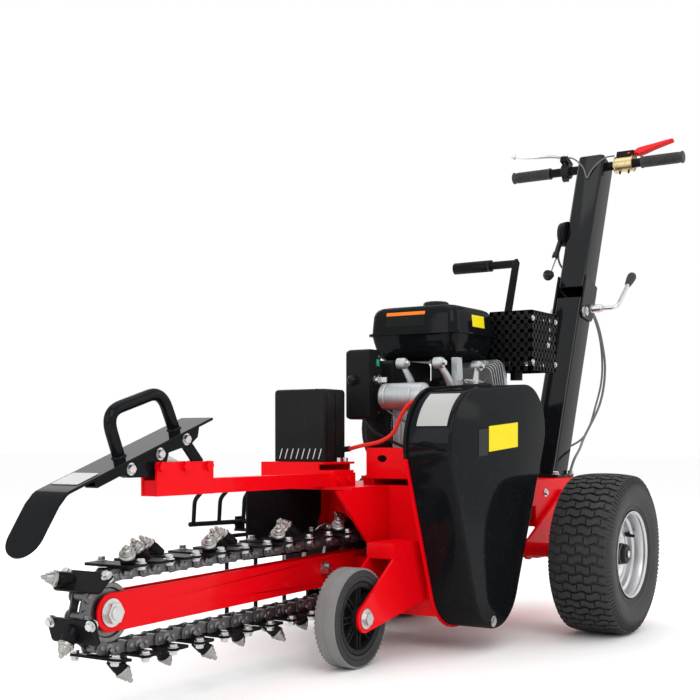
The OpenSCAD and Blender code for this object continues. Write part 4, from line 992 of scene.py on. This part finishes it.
def mufflerCage():
    look = mufflerLook
    (x0, y0, z0), (x1, y1, z1), t = look["low"], look["high"], look["thick"]
    shape = Shape()
    grille(shape, (x0, y0, z0), (x1, y0 + t, z1), "y", look["across"], look["rows"], look["bar"])
    grille(shape, (x0, y0, z0), (x0 + t, y1, z1), "x", look["deep"], look["rows"], look["bar"])
    grille(shape, (x1 - t, y0, z0), (x1, y1, z1), "x", look["deep"], look["rows"], look["bar"])
    grille(shape, (x0, y0, z1 - t), (x1, y1, z1), "z", look["across"], look["deep"], look["bar"])
    shape.block((x0, y1 - t, z0), (x1, y1, z1))
    shape.done("mufflerCage", "frame", "black_satin_paint", ["muffler_guard"], edge=0.7)
    shape = Shape()
    shape.loft([
        [(x, y, z) for x, z in roundedBox(62 - inset, 51 - inset, 14, 5, 46, 694)]
        for y, inset in ((-94, 8), (-92, 2), (-89, 0), (-11, 0), (-8, 2), (-6, 8))])
    shape.tube([(17, -47, 646), (17, -47, 600)], 15, 24)
    shape.done("mufflerBody", "frame", "black_steel", edge=0.6, angle=40)


def controlBox():
    shape = Shape()
    shape.prism(roundedBox(27, 80, 9, 5, -357, 580), 132.3, 190, "y")
    shape.prism(roundedBox(25, 78, 8, 5, -357, 580), 189, 195.8, "y")
    shape.prism(roundedBox(13, 36, 4, 3, -317, 600), 142, 178, "y")
    shape.done("controlBoxShell", "frame", "black_satin_paint", ["control_box"], edge=3, rounds=3)
    shape = Shape()
    for z in (516, 644):
        shape.bolt((-341, 132.6, z), "y", 3, -2.2, 0)
    shape.lathe([(9.4, 132.4), (10, 130.4), (8.2, 129.6), (8.2, 132.4)], (-356, 0, 590), steps=28,
        closed=True)
    shape.done("controlBoxScrews", "frame", "bright_steel")
    shape = Shape()
    shape.prism(roundedBox(4.5, 8, 2, 3, -346, 630), 129.6, 132.6, "y")
    shape.done("switchRocker", "frame", "black_plastic", finish=greenPlastic, edge=0.6)
    shape = Shape()
    shape.ball((-392, 172, 590), 12, "x", 28, lobes=6, dip=0.12)
    shape.lathe([(4, -384), (4, -400), (5, -402)], (0, 172, 590), "x", 16)
    shape.tube(curved([(-366, 150, 500), (-372, 120, 470), (-360, 60, 440), (-348, 6, 426)]), 3.2, 10)
    shape.done("chokeKnob", "frame", "black_plastic")
    shape = Shape()
    shape.lathe([(2, 131), (7.6, 131), (7.6, 124), (6, 121)], (-356, 0, 590), steps=28)
    shape.prism(circle(-356, 590, 11, 0, 360, 20), 119, 121.4)
    shape.block((-358, 101, 584), (-354, 120, 596))
    shape.done("keyBlade", "key", "bright_steel", ["ignition_key"], edge=0.5)


engineDetails()
starterMotor()
coverDetails()
mufflerCage()
controlBox()
print("engine made")


# Battery cover.

coverLook = {"corner": 7, "slits": 8, "slitLean": 18, "ribs": (-526, -492)}


def batteryCover():
    low, high = (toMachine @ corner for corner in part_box("battery_cover"))
    x, y = (low.x + high.x) / 2, (low.y + high.y) / 2
    halfX, halfY = (high.x - low.x) / 2, (high.y - low.y) / 2
    top = high.z
    shape = Shape()
    levels = [(low.z + 0.3, 0.2), (top - 8, 0.2), (top - 3, 1.4), (top - 0.6, 4), (top, 8)]
    shape.loft([
        [(u, v, z) for u, v in roundedBox(halfX - inset, halfY - inset, coverLook["corner"], 5, x, y)]
        for z, inset in levels])
    near = low.y + 0.4
    for rib in coverLook["ribs"]:
        shape.block((rib, near - 0.2, low.z + 4), (rib + 3.4, near + 3, top - 6))
    shape.block((low.x - 0.0, near + 20, top - 4), (high.x, near + 23, top + 0.0))
    shape.done("batteryCoverShell", "frame", "black_satin_paint", ["battery_cover"], edge=0.8, angle=40)
    shape = Shape()
    for k in range(coverLook["slits"]):  # slanted louvres low on the broad face
        local = shift(low.x, near + 13 + k * 15, low.z + 8) @ turn(coverLook["slitLean"], "X")
        shape.block((-1.4, -1.2, -2), (0.4, 1.2, 22), local)
    shape.done("coverLouvres", "frame", "bright_steel", finish=finishes["grey_paint"], edge=0.3)


batteryCover()


# Steering column.

def columnTube(shape, foot, top, cutAtDeck=False):
    look = columnLook
    outer = roundedBox(look["deep"] / 2, look["wide"] / 2, look["corner"], 5)
    inner = roundedBox(look["deep"] / 2 - look["wall"], look["wide"] / 2 - look["wall"],
        look["corner"] - 4, 5)
    lean = math.tan(math.radians(look["lean"]))
    start = [(x, y, x * lean + 0.3 if cutAtDeck else foot) for x, y in outer]
    inside = [(x, y, top - 60 if cutAtDeck else foot + 60) for x, y in inner]
    if cutAtDeck:
        mouth = [[(x, y, top) for x, y in outer], [(x, y, top) for x, y in inner]]
        shape.loft([start, *mouth, inside])
    else:
        mouth = [[(x, y, foot) for x, y in inner], start]
        close = roundedBox(look["deep"] / 2 - 3, look["wide"] / 2 - 3, look["corner"], 5)
        shape.loft([inside, *mouth, [(x, y, top - 3) for x, y in outer], [(x, y, top) for x, y in close]])


def steeringColumn():
    look = columnLook
    shape = Shape(column)
    columnTube(shape, 0, look["lowerTop"], True)
    shape.where = machine
    shape.prism(roundedBox(58, 54, 6, 4, 301, -5), 354.2, 362, "z")
    shape.done("columnLowerTube", "frame", "black_gloss_paint", ["column_lower"],
        finish=finishes["column_gloss"],
               edge=1.2)
    shape = Shape()
    for x in (-52, 46):
        for y in (-46.5, 46.5):
            shape.bolt((304 + x, -5 + y, 362), "z", 7.4, 9, 1.5)
    shape.done("columnFootBolts", "frame", "zinc_steel")
    shape = Shape(column)
    columnTube(shape, look["upperFoot"], look["upperTop"])
    pivotX, pivotZ = look["pivot"]
    outline = circle(pivotX, pivotZ, 18, 180, 270, 8) + [(34, 474), (42, 486), (42, 584), (-42, 584)]
    for low, high in ((38.9, 43.8), (-43.8, -38.9)):
        shape.prism(outline, low, high)
    shape.done("columnUpperTube", "column_top", "black_gloss_paint", ["column_upper"],
        finish=finishes["column_gloss"],
               edge=1.2)
    shape = Shape(column)
    for side in (-1, 1):
        shape.lathe([(14, side * 43.9), (13.6, side * 45.6), (9, side * 46)], (pivotX, 0, pivotZ), steps=32)
    shape.done("foldWashers", "frame", "zinc_steel")
    shape = Shape(column)  # the clamp's two screws behind the bar
    for y in (-30, 30):
        shape.bolt((-30, y, look["upperTop"]), "z", 4.5, 5, 1.4)
    shape.done("columnTopScrews", "column_top", "bright_steel")


def barGrip(side):
    half = (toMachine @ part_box("handlebar")[1]).y - bar.y
    shape = Shape(column)
    start, end = half - 118, half + 4
    profile = [(12.6, start), (16.8, start), (17, start + 5), (14.8, start + 8)]
    y = start + 10
    while y < end - 14:
        profile += [(14.8, y), (16, y + 0.8), (16, y + 3.2), (14.8, y + 4)]
        y += 5.2
    profile += [(15.4, end - 8), (17, end - 6), (17, end - 2), (14, end - 0.2), (1, end)]
    profile = [(r, side * y) for r, y in profile]
    shape.lathe(profile, (0, 0, barUp), steps=40)
    return shape


def handles():
    for side, name in ((-1, "gripNear"), (1, "gripFar")):
        piece = barGrip(side).done(name, "column_top", "grip_rubber", angle=30)
        if side > 0:
            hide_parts("bar_grips")
    shape = Shape(column)
    path = curved([(-22, 90, barUp + 36), (-34, 122, barUp + 38), (-44, 160, barUp + 35),
        (-52, 200, barUp + 33), (-58, 238, barUp + 36)])
    shape.tube(path, [8.5 - 3.5 * k / (len(path) - 1) for k in range(len(path))], 16, 0.75)
    shape.ball((-59, 240, barUp + 36), 8.8)
    shape.lathe([(4, 12), (4, 31), (11, 31.5), (12, 33), (12, 38.5), (10, 39.8), (1, 39.9)],
        (-22, 89, barUp), "z", 32)
    shape.done("clutchLeverBlade", "clutch_hand_lever", "polished_steel", ["clutch_lever"], angle=40)
    shape = Shape(column)
    local = shift(0, -102, barUp + 27) @ turn(-14, "X")
    shape.loft([
        [(-w, y, low), (w, y, low), (w, y, high), (-w, y, high)]
        for y, w, low, high in (
            (6, 8.4, -3, 5), (-18, 8.6, -3, 9), (-26, 8.6, -9, 13), (-44, 8.6, -8, 12), (-70, 8, -5, 10),
            (-104, 7.4, -3, 8), (-124, 7.2, -2, 6), (-127.6, 5.6, 0, 4))], local)
    shape.lathe([(2, -15.8), (4, -15.8), (4, 15.8), (2, 15.8)], (0, -102, barUp + 27), "x", 20)
    shape.done("latchLeverBlade", "latch_hand_lever", "red_enamel", ["latch_lever"], edge=2, rounds=3)
    shape = Shape(column)
    for y in (-104, -78):
        shape.lathe([(6, barUp - 20), (6, barUp - 22), (2, barUp - 22.4)], (0, y, 0), "z", 20)
    shape.lathe([(24, -61.8), (24, -64), (21.4, -66), (21.4, -112), (24, -114), (24, -116), (12.7, -116),
        (12.7, -61.8)],
                (0, 0, barUp), steps=40, closed=True)
    shape.done("latchClamp", "column_top", "zinc_steel", finish=yellowZinc, angle=40)
    shape = Shape(column)
    shape.lathe([(20.2, 77), (22, 78), (22, 100), (20.2, 101), (12.7, 101), (12.7, 77)], (0, 0, barUp),
        steps=36, closed=True)
    shape.block((-6, 80, barUp - 30), (8, 98, barUp - 18))
    shape.done("clutchClamp", "column_top", "black_plastic", edge=1)


def throttleControl():
    y = 54.7
    shape = Shape(column)
    rim = [(6.1, 48.9), (30, 48.9), (33.6, 50), (34, 52), (34, 58), (33, 60), (30, 60.4), (28, 58.6),
        (12, 58.6), (9, 60.4), (6.1, 60.4)]
    shape.lathe(rim, (-27, 0, 726), steps=64, closed=True)
    shape.prism([(-44, 706), (-31, 700), (-45, 644), (-60, 648)], 50.5, 59)
    shape.lathe([(9, -2), (9.4, 10), (8, 16), (5, 17)], (0, 0, 0), "z", 24,
        shift(-53, y, 650) @ turn(-162, "Y"))
    shape.ball((-79, y, 570), 15.8, "y", 40, lobes=5, dip=0.28)
    shape.done("throttleHub", "throttle", "black_plastic", ["throttle_lever"], edge=0.8, angle=40)
    shape = Shape(column)
    shape.tube([(-54, y, 642), (-75, y, 582)], 5.6, 16)
    shape.bolt((-27, 60.6, 726), "y", 5, 3, 1.4)
    shape.bolt((-27, 59, 748), "y", 3, 2.4, 1.3)
    shape.done("throttleRod", "throttle", "polished_steel")


def lockCrank():
    near = columnLook["wide"] / 2
    shape = Shape(column)
    shape.lathe([(9, -near - 5.8), (11, -near - 6.4), (11, -near - 40), (9.4, -near - 43.6),
        (5, -near - 44)],
                (8, 0, 501), steps=32)
    shape.lathe([(13, -near - 5.8), (13, -near - 14), (11, -near - 15)], (8, 0, 501), steps=6)
    run = bent([(8, -near - 30, 501), (8, -near - 86, 501), (70, -near - 84, 607), (74, -near - 84, 612)],
        20, 8)
    shape.tube(run, 6, 16)
    shape.done("lockCrankRod", "column_lock", "bright_steel", ["lock_crank"], angle=40)
    shape = Shape(column)
    local = shift(66, -near - 84, 600) @ turn(30, "Y")
    profile = [(6.2, 0), (9, 1), (9.6, 6), (8.6, 8), (10.4, 10), (10.8, 16), (9.6, 18), (11.6, 20),
        (12, 27), (10.8, 29),
               (12.6, 31), (12.9, 42), (11, 48), (6, 51), (1, 51.6)]
    shape.lathe(profile, axis="z", steps=32, local=local)
    shape.done("lockCrankGrip", "column_lock", "grip_rubber", angle=40)


steeringColumn()
handles()
throttleControl()
lockCrank()
print("column made")


# Crumber.

crumberLook = {"wide": 37.5, "thick": 5, "y": 125.5}


def crumberBlade():
    zero = Vector((nose.x + 106, 0, 354))
    look = crumberLook
    middleY = look["y"]
    path = [Vector((x, 0, z)) for x, z in ((135, 137.6), (60, 111.8), (-40, 77.4), (-140, 43),
        (-212, 18.2))]
    bend = [Vector((x, 0, z)) for x, z in ((-222, 14.4), (-229, 10), (-235, 3.6))]
    tip = Vector((-278, 0, -54))
    down = (tip - Vector((-262, 0, -31))).normalized()
    ahead = [tip + down * t for t in (-60, -40, -20, 0, 8, 16, 23, 29, 33, 35.6, 36.6)]
    line = path + bend + ahead
    rings = []
    for i, point in enumerate(line):
        along = (line[min(i + 1, len(line) - 1)] - line[max(i - 1, 0)]).normalized()
        across = Vector((-along.z, 0, along.x)) * look["thick"] / 2
        past = max(0, (point - tip).dot(down)) if i >= len(path) + len(bend) else 0
        half = math.sqrt(max(look["wide"] ** 2 - (past * 1.024) ** 2, 4))
        rings.append([
            zero + point + across + Vector((0, middleY - half, 0)),
                zero + point + across + Vector((0, middleY + half, 0)),
            zero + point - across + Vector((0, middleY + half, 0)),
                zero + point - across + Vector((0, middleY - half, 0))])
    shape = Shape()
    shape.loft(rings)
    sides = [(-90, 56.5), (127, 131), (121, 104), (104, 92), (84, 86), (42, 76), (28, 36), (20, 34),
        (-60, 34), (-82, 40)]
    for low, high in ((112, 117), (123, 128)):
        shape.prism([(zero.x + x, zero.z + z) for x, z in sides], low, high)
    local = shift(zero.x - 144, 111, zero.z) @ turn(-19, "Y")
    shape.loft([[(x, 0, z), (x, 29, z), (x, 29, z + 20), (x, 25, z + 20), (x, 25, z + 4), (x, 4, z + 4),
        (x, 4, z + 20),
                 (x, 0, z + 20)] for x, z in ((14, 15), (104, 15))], local)
    shape.done("crumberStrip", "crumber", "black_gloss_paint", ["crumber_blade"], edge=1, angle=36)
    shape = Shape()
    local = shift(zero.x - 212, middleY, zero.z + 21.6) @ turn(-19, "Y")
    shape.prism(roundedBox(26, 30, 3, 3, 42, 0), -0.3, 0.7, "z", local)
    shape.done("crumberPlate", "crumber", "black_plastic", finish=plateGrey)
    shape = Shape()
    for x, z in ((-56, 49), (18, 74), (88, 100)):
        for side, y in ((-1, 111.8), (1, 128.2)):
            shape.lathe([(11, y), (10.6, y + side * 1.6), (8, y + side * 1.8)],
                (zero.x + x, 0, zero.z + z), steps=28)
    shape.done("crumberWashers", "crumber", "zinc_steel")
    local = shift(zero.x - 70, middleY, zero.z + 67) @ turn(-19, "Y")
    shape = Shape()
    corners = [(0, 0, 2.6), (-5, 0, 84), (139, 0, 78), (149, 0, 2.6)]
    path = bent(corners, 46, 10)
    shape.tube([local @ Vector(point) for point in path], 10.95, 24)
    for x in (0, 149):  # weld beads at the feet
        shape.lathe([(10.8, 6), (13, 4.2), (13.6, 2.6)], (x, 0, 0), "z", 28, local)
    shape.done("crumberLoop", "crumber", "black_gloss_paint", ["crumber_handle"], angle=40)


def crumberBars():
    zero = Vector((nose.x + 106, 0, 354))
    for name, foot, top, half, slot in (
            ("crumberStrut", (136, 52), (88, 100), 12, "black_paint"),
                ("crumberLink", (72, 52), (18, 74), 9, "zinc_steel")):
        shape = Shape()
        start, end = zero + Vector((foot[0], 0, foot[1])), zero + Vector((top[0], 0, top[1]))
        ahead = (end - start).normalized()
        aside = Vector((-ahead.z, 0, ahead.x)) * half
        outline = [start - aside + ahead * 2, end - aside + ahead * 4, end - aside * 0.5 + ahead * 11,
                   end + aside * 0.5 + ahead * 11, end + aside + ahead * 4, start + aside + ahead * 2]
        shape.prism([(p.x, p.z) for p in outline], 117.6, 122.4)
        shape.done(name, "crumber", slot, ["crumber_links"] if half < 12 else (), edge=0.8)
    shape = Shape()
    for x, z in ((-56, 49), (18, 74), (88, 100)):
        shape.bolt((zero.x + x, 112, zero.z + z), "y", 8.6, -7, 1.3)
        shape.bolt((zero.x + x, 128, zero.z + z), "y", 8.6, 7, 1.3)
        shape.lathe([(6, 111), (6, 129)], (zero.x + x, 0, zero.z + z), steps=20)
    shape.done("crumberBolts", "crumber", "zinc_steel")


crumberBars()
crumberBlade()


# Spoil cage.

cageLook = {"bar": 5, "bend": 12, "ribs": (-335, -430, -525), "rings": (24, 122, 222)}


def spoilCages():
    radius = cageLook["bar"]
    shape = Shape()
    for x in cageLook["ribs"]:
        shape.tube(bent([(x, 350.5, 351), (x, 495, 340), (x, 526, 312), (x, 530, 254)], cageLook["bend"]),
            radius, 12)
        shape.block((x - 9, 350.5, 342), (x + 9, 353.8, 360))
    shape.tube([(-538, 530, 255), (-322, 530, 251)], 5.9, 14)
    shape.tube(bent([(-262, 356, 246), (-300, 440, 247), (-345, 526, 251)], 20), radius, 12)
    shape.block((-275, 350.5, 236), (-256, 356.8, 256))
    shape.done("upperCageBars", "frame", "black_paint", ["upper_cage"], edge=0.8, angle=40)
    shape = Shape()
    for z in cageLook["rings"]:
        shape.tube(bent([(-290, 358, z), (-284, 444, z), (-336, 497, z), (-444, 500, z)], 26), radius, 12)
    for x, y in ((-290, 359), (-286, 440), (-332, 494), (-438, 500)):
        shape.tube([(x, y, 20), (x, y, 226.5)], radius, 12)
    shape.block((-300, 350.5, 170), (-280, 357.8, 222))
    shape.block((-352, 488, 227.5), (-318, 546, 233.6))
    shape.block((-352, 538, 233.6), (-318, 543.8, 264))
    for x in (-346, -324):
        shape.bolt((x, 544, 249), "y", 6.8, 5.8, 0)
    shape.done("lowerCageBars", "frame", "black_paint", ["lower_cage"], edge=0.8, angle=40)


spoilCages()
print("crumber and cages made")


# Depth lever, cables, loose hardware.

def depthLever():
    shape = Shape()
    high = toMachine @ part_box("depth_lever")[1]
    x, z = 320, high.z - 16
    profile = [(11.2, 170), (15.6, 170.4), (16, 173), (16, 178)]
    y = 180
    while y < 272:
        profile += [(14.6, y), (15.8, y + 1), (15.8, y + 4), (14.6, y + 5)]
        y += 6.5
    profile += [(15.8, 276), (15.8, 280), (13, 283.6), (1, 284)]
    shape.lathe(profile, (x, 0, z), steps=36)
    shape.done("depthLeverGrip", "carriage", "grip_rubber")


clutchRun = [
    (545, -18, 842), (608, -20, 806), (648, -24, 744), (660, -30, 657), (622, -30, 560), (502, -30, 462),
    (420, -50, 430), (330, -70, 400), (300, -68, 358)]
throttleRun = [
    (528, 60, 1010), (560, 68, 960), (640, 40, 900), (668, -4, 780), (664, -20, 660), (618, -20, 560),
    (502, -20, 454), (400, 56, 430), (240, 128, 520), (100, 172, 575), (-20, 162, 575)]
leadRun = [
    (-352, -15.5, 545), (-372, -15.5, 546), (-388, -10, 542), (-403, 14, 533), (-413, 31, 505),
    (-422, 44, 470), (-440, 66, 450), (-456, 108, 440), (-457, 134, 434), (-456, 150.5, 432)]


def cables():
    shape = Shape()
    shape.tube(curved(clutchRun, 8), 3.5, 12)
    shape.tube(curved(throttleRun, 8), 3.0, 12)
    piece = shape.done("controlCableRuns", None, "cable_sheath", ["control_cables"], angle=60)
    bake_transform(piece)
    shape = Shape()
    shape.tube(curved(leadRun, 8), 4.5, 14)
    shape.done("starterLeadRun", "frame", "lead_red", ["starter_lead"], angle=60)
    shape = Shape()
    shape.tube(curved([(-457, 136, 433.8), (-456, 150.6, 432)]), 6.4, 14)
    shape.done("leadBoot", "frame", "black_plastic")
    shape = Shape(column)
    shape.tube(curved([(-30, 100, barUp + 30), (-34, 60, barUp + 20), (-44, 20, barUp - 20),
        (-45, 2, barUp - 60)]), 2.2, 10)
    shape.tube(curved([(-20, -62, barUp + 20), (-38, -40, barUp + 4), (-46, -14, barUp - 30),
        (-45, 0, barUp - 62)]), 2.2, 10)
    shape.done("barCables", "column_top", "cable_sheath", angle=60)


def looseHardware():
    shape = Shape()
    shape.lathe([(12, -180.2), (12, -181.4), (8, -181.8)], (-381, 0, 66), steps=28)
    shape.bolt((-497.5, -92, 228), "x", 7, -6, 1.4)
    shape.bolt((27, -80, 305), "y", 7, -6, 1.5)
    for x, z in ((-420, 300), (-250, 330), (120, 320), (280, 320), (320, 250)):
        shape.bolt((x, -80, z), "y", 7, -6, 1.5)
    for x, z in ((-430, 268), (-430, 210)):
        shape.bolt((x, -80, z), "y", 6, -5, 1.4)
    shape.lathe([(20, -54.2), (20, -56), (12, -56.6)], (-692, 0, 99.5), steps=32)
    for x in (-436, -400):
        shape.bolt((x, -60, 360), "y", 6, -5, 1.3)
    for x in (-300, -100, 40, 200):
        shape.bolt((x, 146, 320), "y", 7, 6, 1.5)
    shape.done("frameBolts", "frame", "zinc_steel")
    shape = Shape()
    for x, z in ((-18, 642), (-18, 748), (118, 642), (118, 748), (72, 688)):
        shape.bolt((x, -106, z), "y", 5, -4, 1.3)
    shape.done("mufflerScrews", "frame", "bright_steel")


depthLever()
cables()
looseHardware()
print("cables and hardware made")


# Finishes of the parts that stay as they are.

softEdges = {
    "frame_weldment": 1.4, "rear_loop": 0, "engine_base": 1.2, "battery_tray": 1.0, "battery": 2.0,
        "pins_and_bolts": 0.8,
    "boom_bar": 1.2, "side_beam": 2.0, "crumber_links": 0.9, "spoil_skirts": 1.2, "axle_carriage": 1.0,
    "depth_lever": 1.6, "bar_brackets": 1.0, "engine_block": 3.0, "air_cleaner": 4.0, "muffler_guard": 0.8,
    "recoil_grip": 2.0, "oil_cap": 1.0, "crankshaft": 0.6, "head_bearings": 1.0, "handlebar": 0.8,
}


def weldAndSoften(node, edge):
    weld = node.modifiers.new("weld", "WELD")
    weld.merge_threshold = 0.00001
    softenEdges(node, edge)


for row in frame["record"]["subparts"]:
    node = frame["nodes"][row["node"]]
    node.data.materials.clear()
    node.data.materials.append(finishes[row["material_slot"]])
    edge = softEdges.get(row["node"], 0)
    if edge and not node.hide_render:
        weldAndSoften(node, edge)
print("finishes assigned")


# Stage, light and camera.

stageLook = {"colour": rgb(0.98, 0.98, 0.98), "shade": rgb(0.97, 0.97, 0.97), "size": 60.0}
lights = [  # name, place, size, watts
    ("keyLight", (-2.6, -3.0, 3.4), 2.6, 60),
    ("fillLight", (2.6, -3.2, 2.0), 2.4, 18),
    ("frontLight", (-3.8, 0.8, 1.8), 2.0, 22),
    ("rimLight", (1.6, 3.0, 2.8), 2.0, 40),
    ("topLight", (0.0, 0.0, 4.2), 3.0, 30),
]
cameraLook = {
    "place": (-2703.4, -1315.6, 451.2), "yaw": 32.86, "pitch": -0.71, "lens": 61.95, "shiftY": 0.151,
}


def makeStage():
    mesh = bmesh.new()
    half = stageLook["size"] / 2
    bmesh.ops.create_grid(mesh, x_segments=8, y_segments=8, size=half)
    data = bpy.data.meshes.new("studioFloor")
    mesh.to_mesh(data)
    mesh.free()
    floor = bpy.data.objects.new("studioFloor", data)
    bpy.context.scene.collection.objects.link(floor)
    pale = Finish("paleFloor")
    cloud = pale.noise(1.2, 3.0)
    data.materials.append(pale.shade(
        Base_Color=pale.mix(cloud, stageLook["colour"], stageLook["shade"]), Roughness=0.55 + cloud * 0.1))


def makeLights():
    for name, place, size, watts in lights:
        light = bpy.data.lights.new(name, "AREA")
        light.energy = watts
        light.size = size
        lamp = bpy.data.objects.new(name, light)
        lamp.location = place
        lamp.rotation_euler = (Vector((0, 0, 0.45)) - Vector(place)).to_track_quat("-Z", "Y").to_euler()
        bpy.context.scene.collection.objects.link(lamp)
    world = bpy.data.worlds.new("studio")
    world.use_nodes = True
    world.node_tree.nodes["Background"].inputs["Color"].default_value = rgb(1.0, 1.0, 1.0)
    world.node_tree.nodes["Background"].inputs["Strength"].default_value = 1.0
    bpy.context.scene.world = world
    bpy.context.scene.view_settings.view_transform = "Standard"


def makeCamera():
    lens = bpy.data.cameras.new("camera")
    lens.lens = cameraLook["lens"]
    lens.shift_y = cameraLook["shiftY"]
    camera = bpy.data.objects.new("camera", lens)
    camera.location = machine @ Vector(cameraLook["place"])
    yaw, pitch = math.radians(cameraLook["yaw"]), math.radians(cameraLook["pitch"])
    ahead = Vector((math.cos(pitch) * math.cos(yaw), math.cos(pitch) * math.sin(yaw), math.sin(pitch)))
    camera.rotation_euler = ahead.to_track_quat("-Z", "Y").to_euler()
    bpy.context.scene.collection.objects.link(camera)
    bpy.context.scene.camera = camera


makeStage()
makeLights()
makeCamera()
print("stage ready")
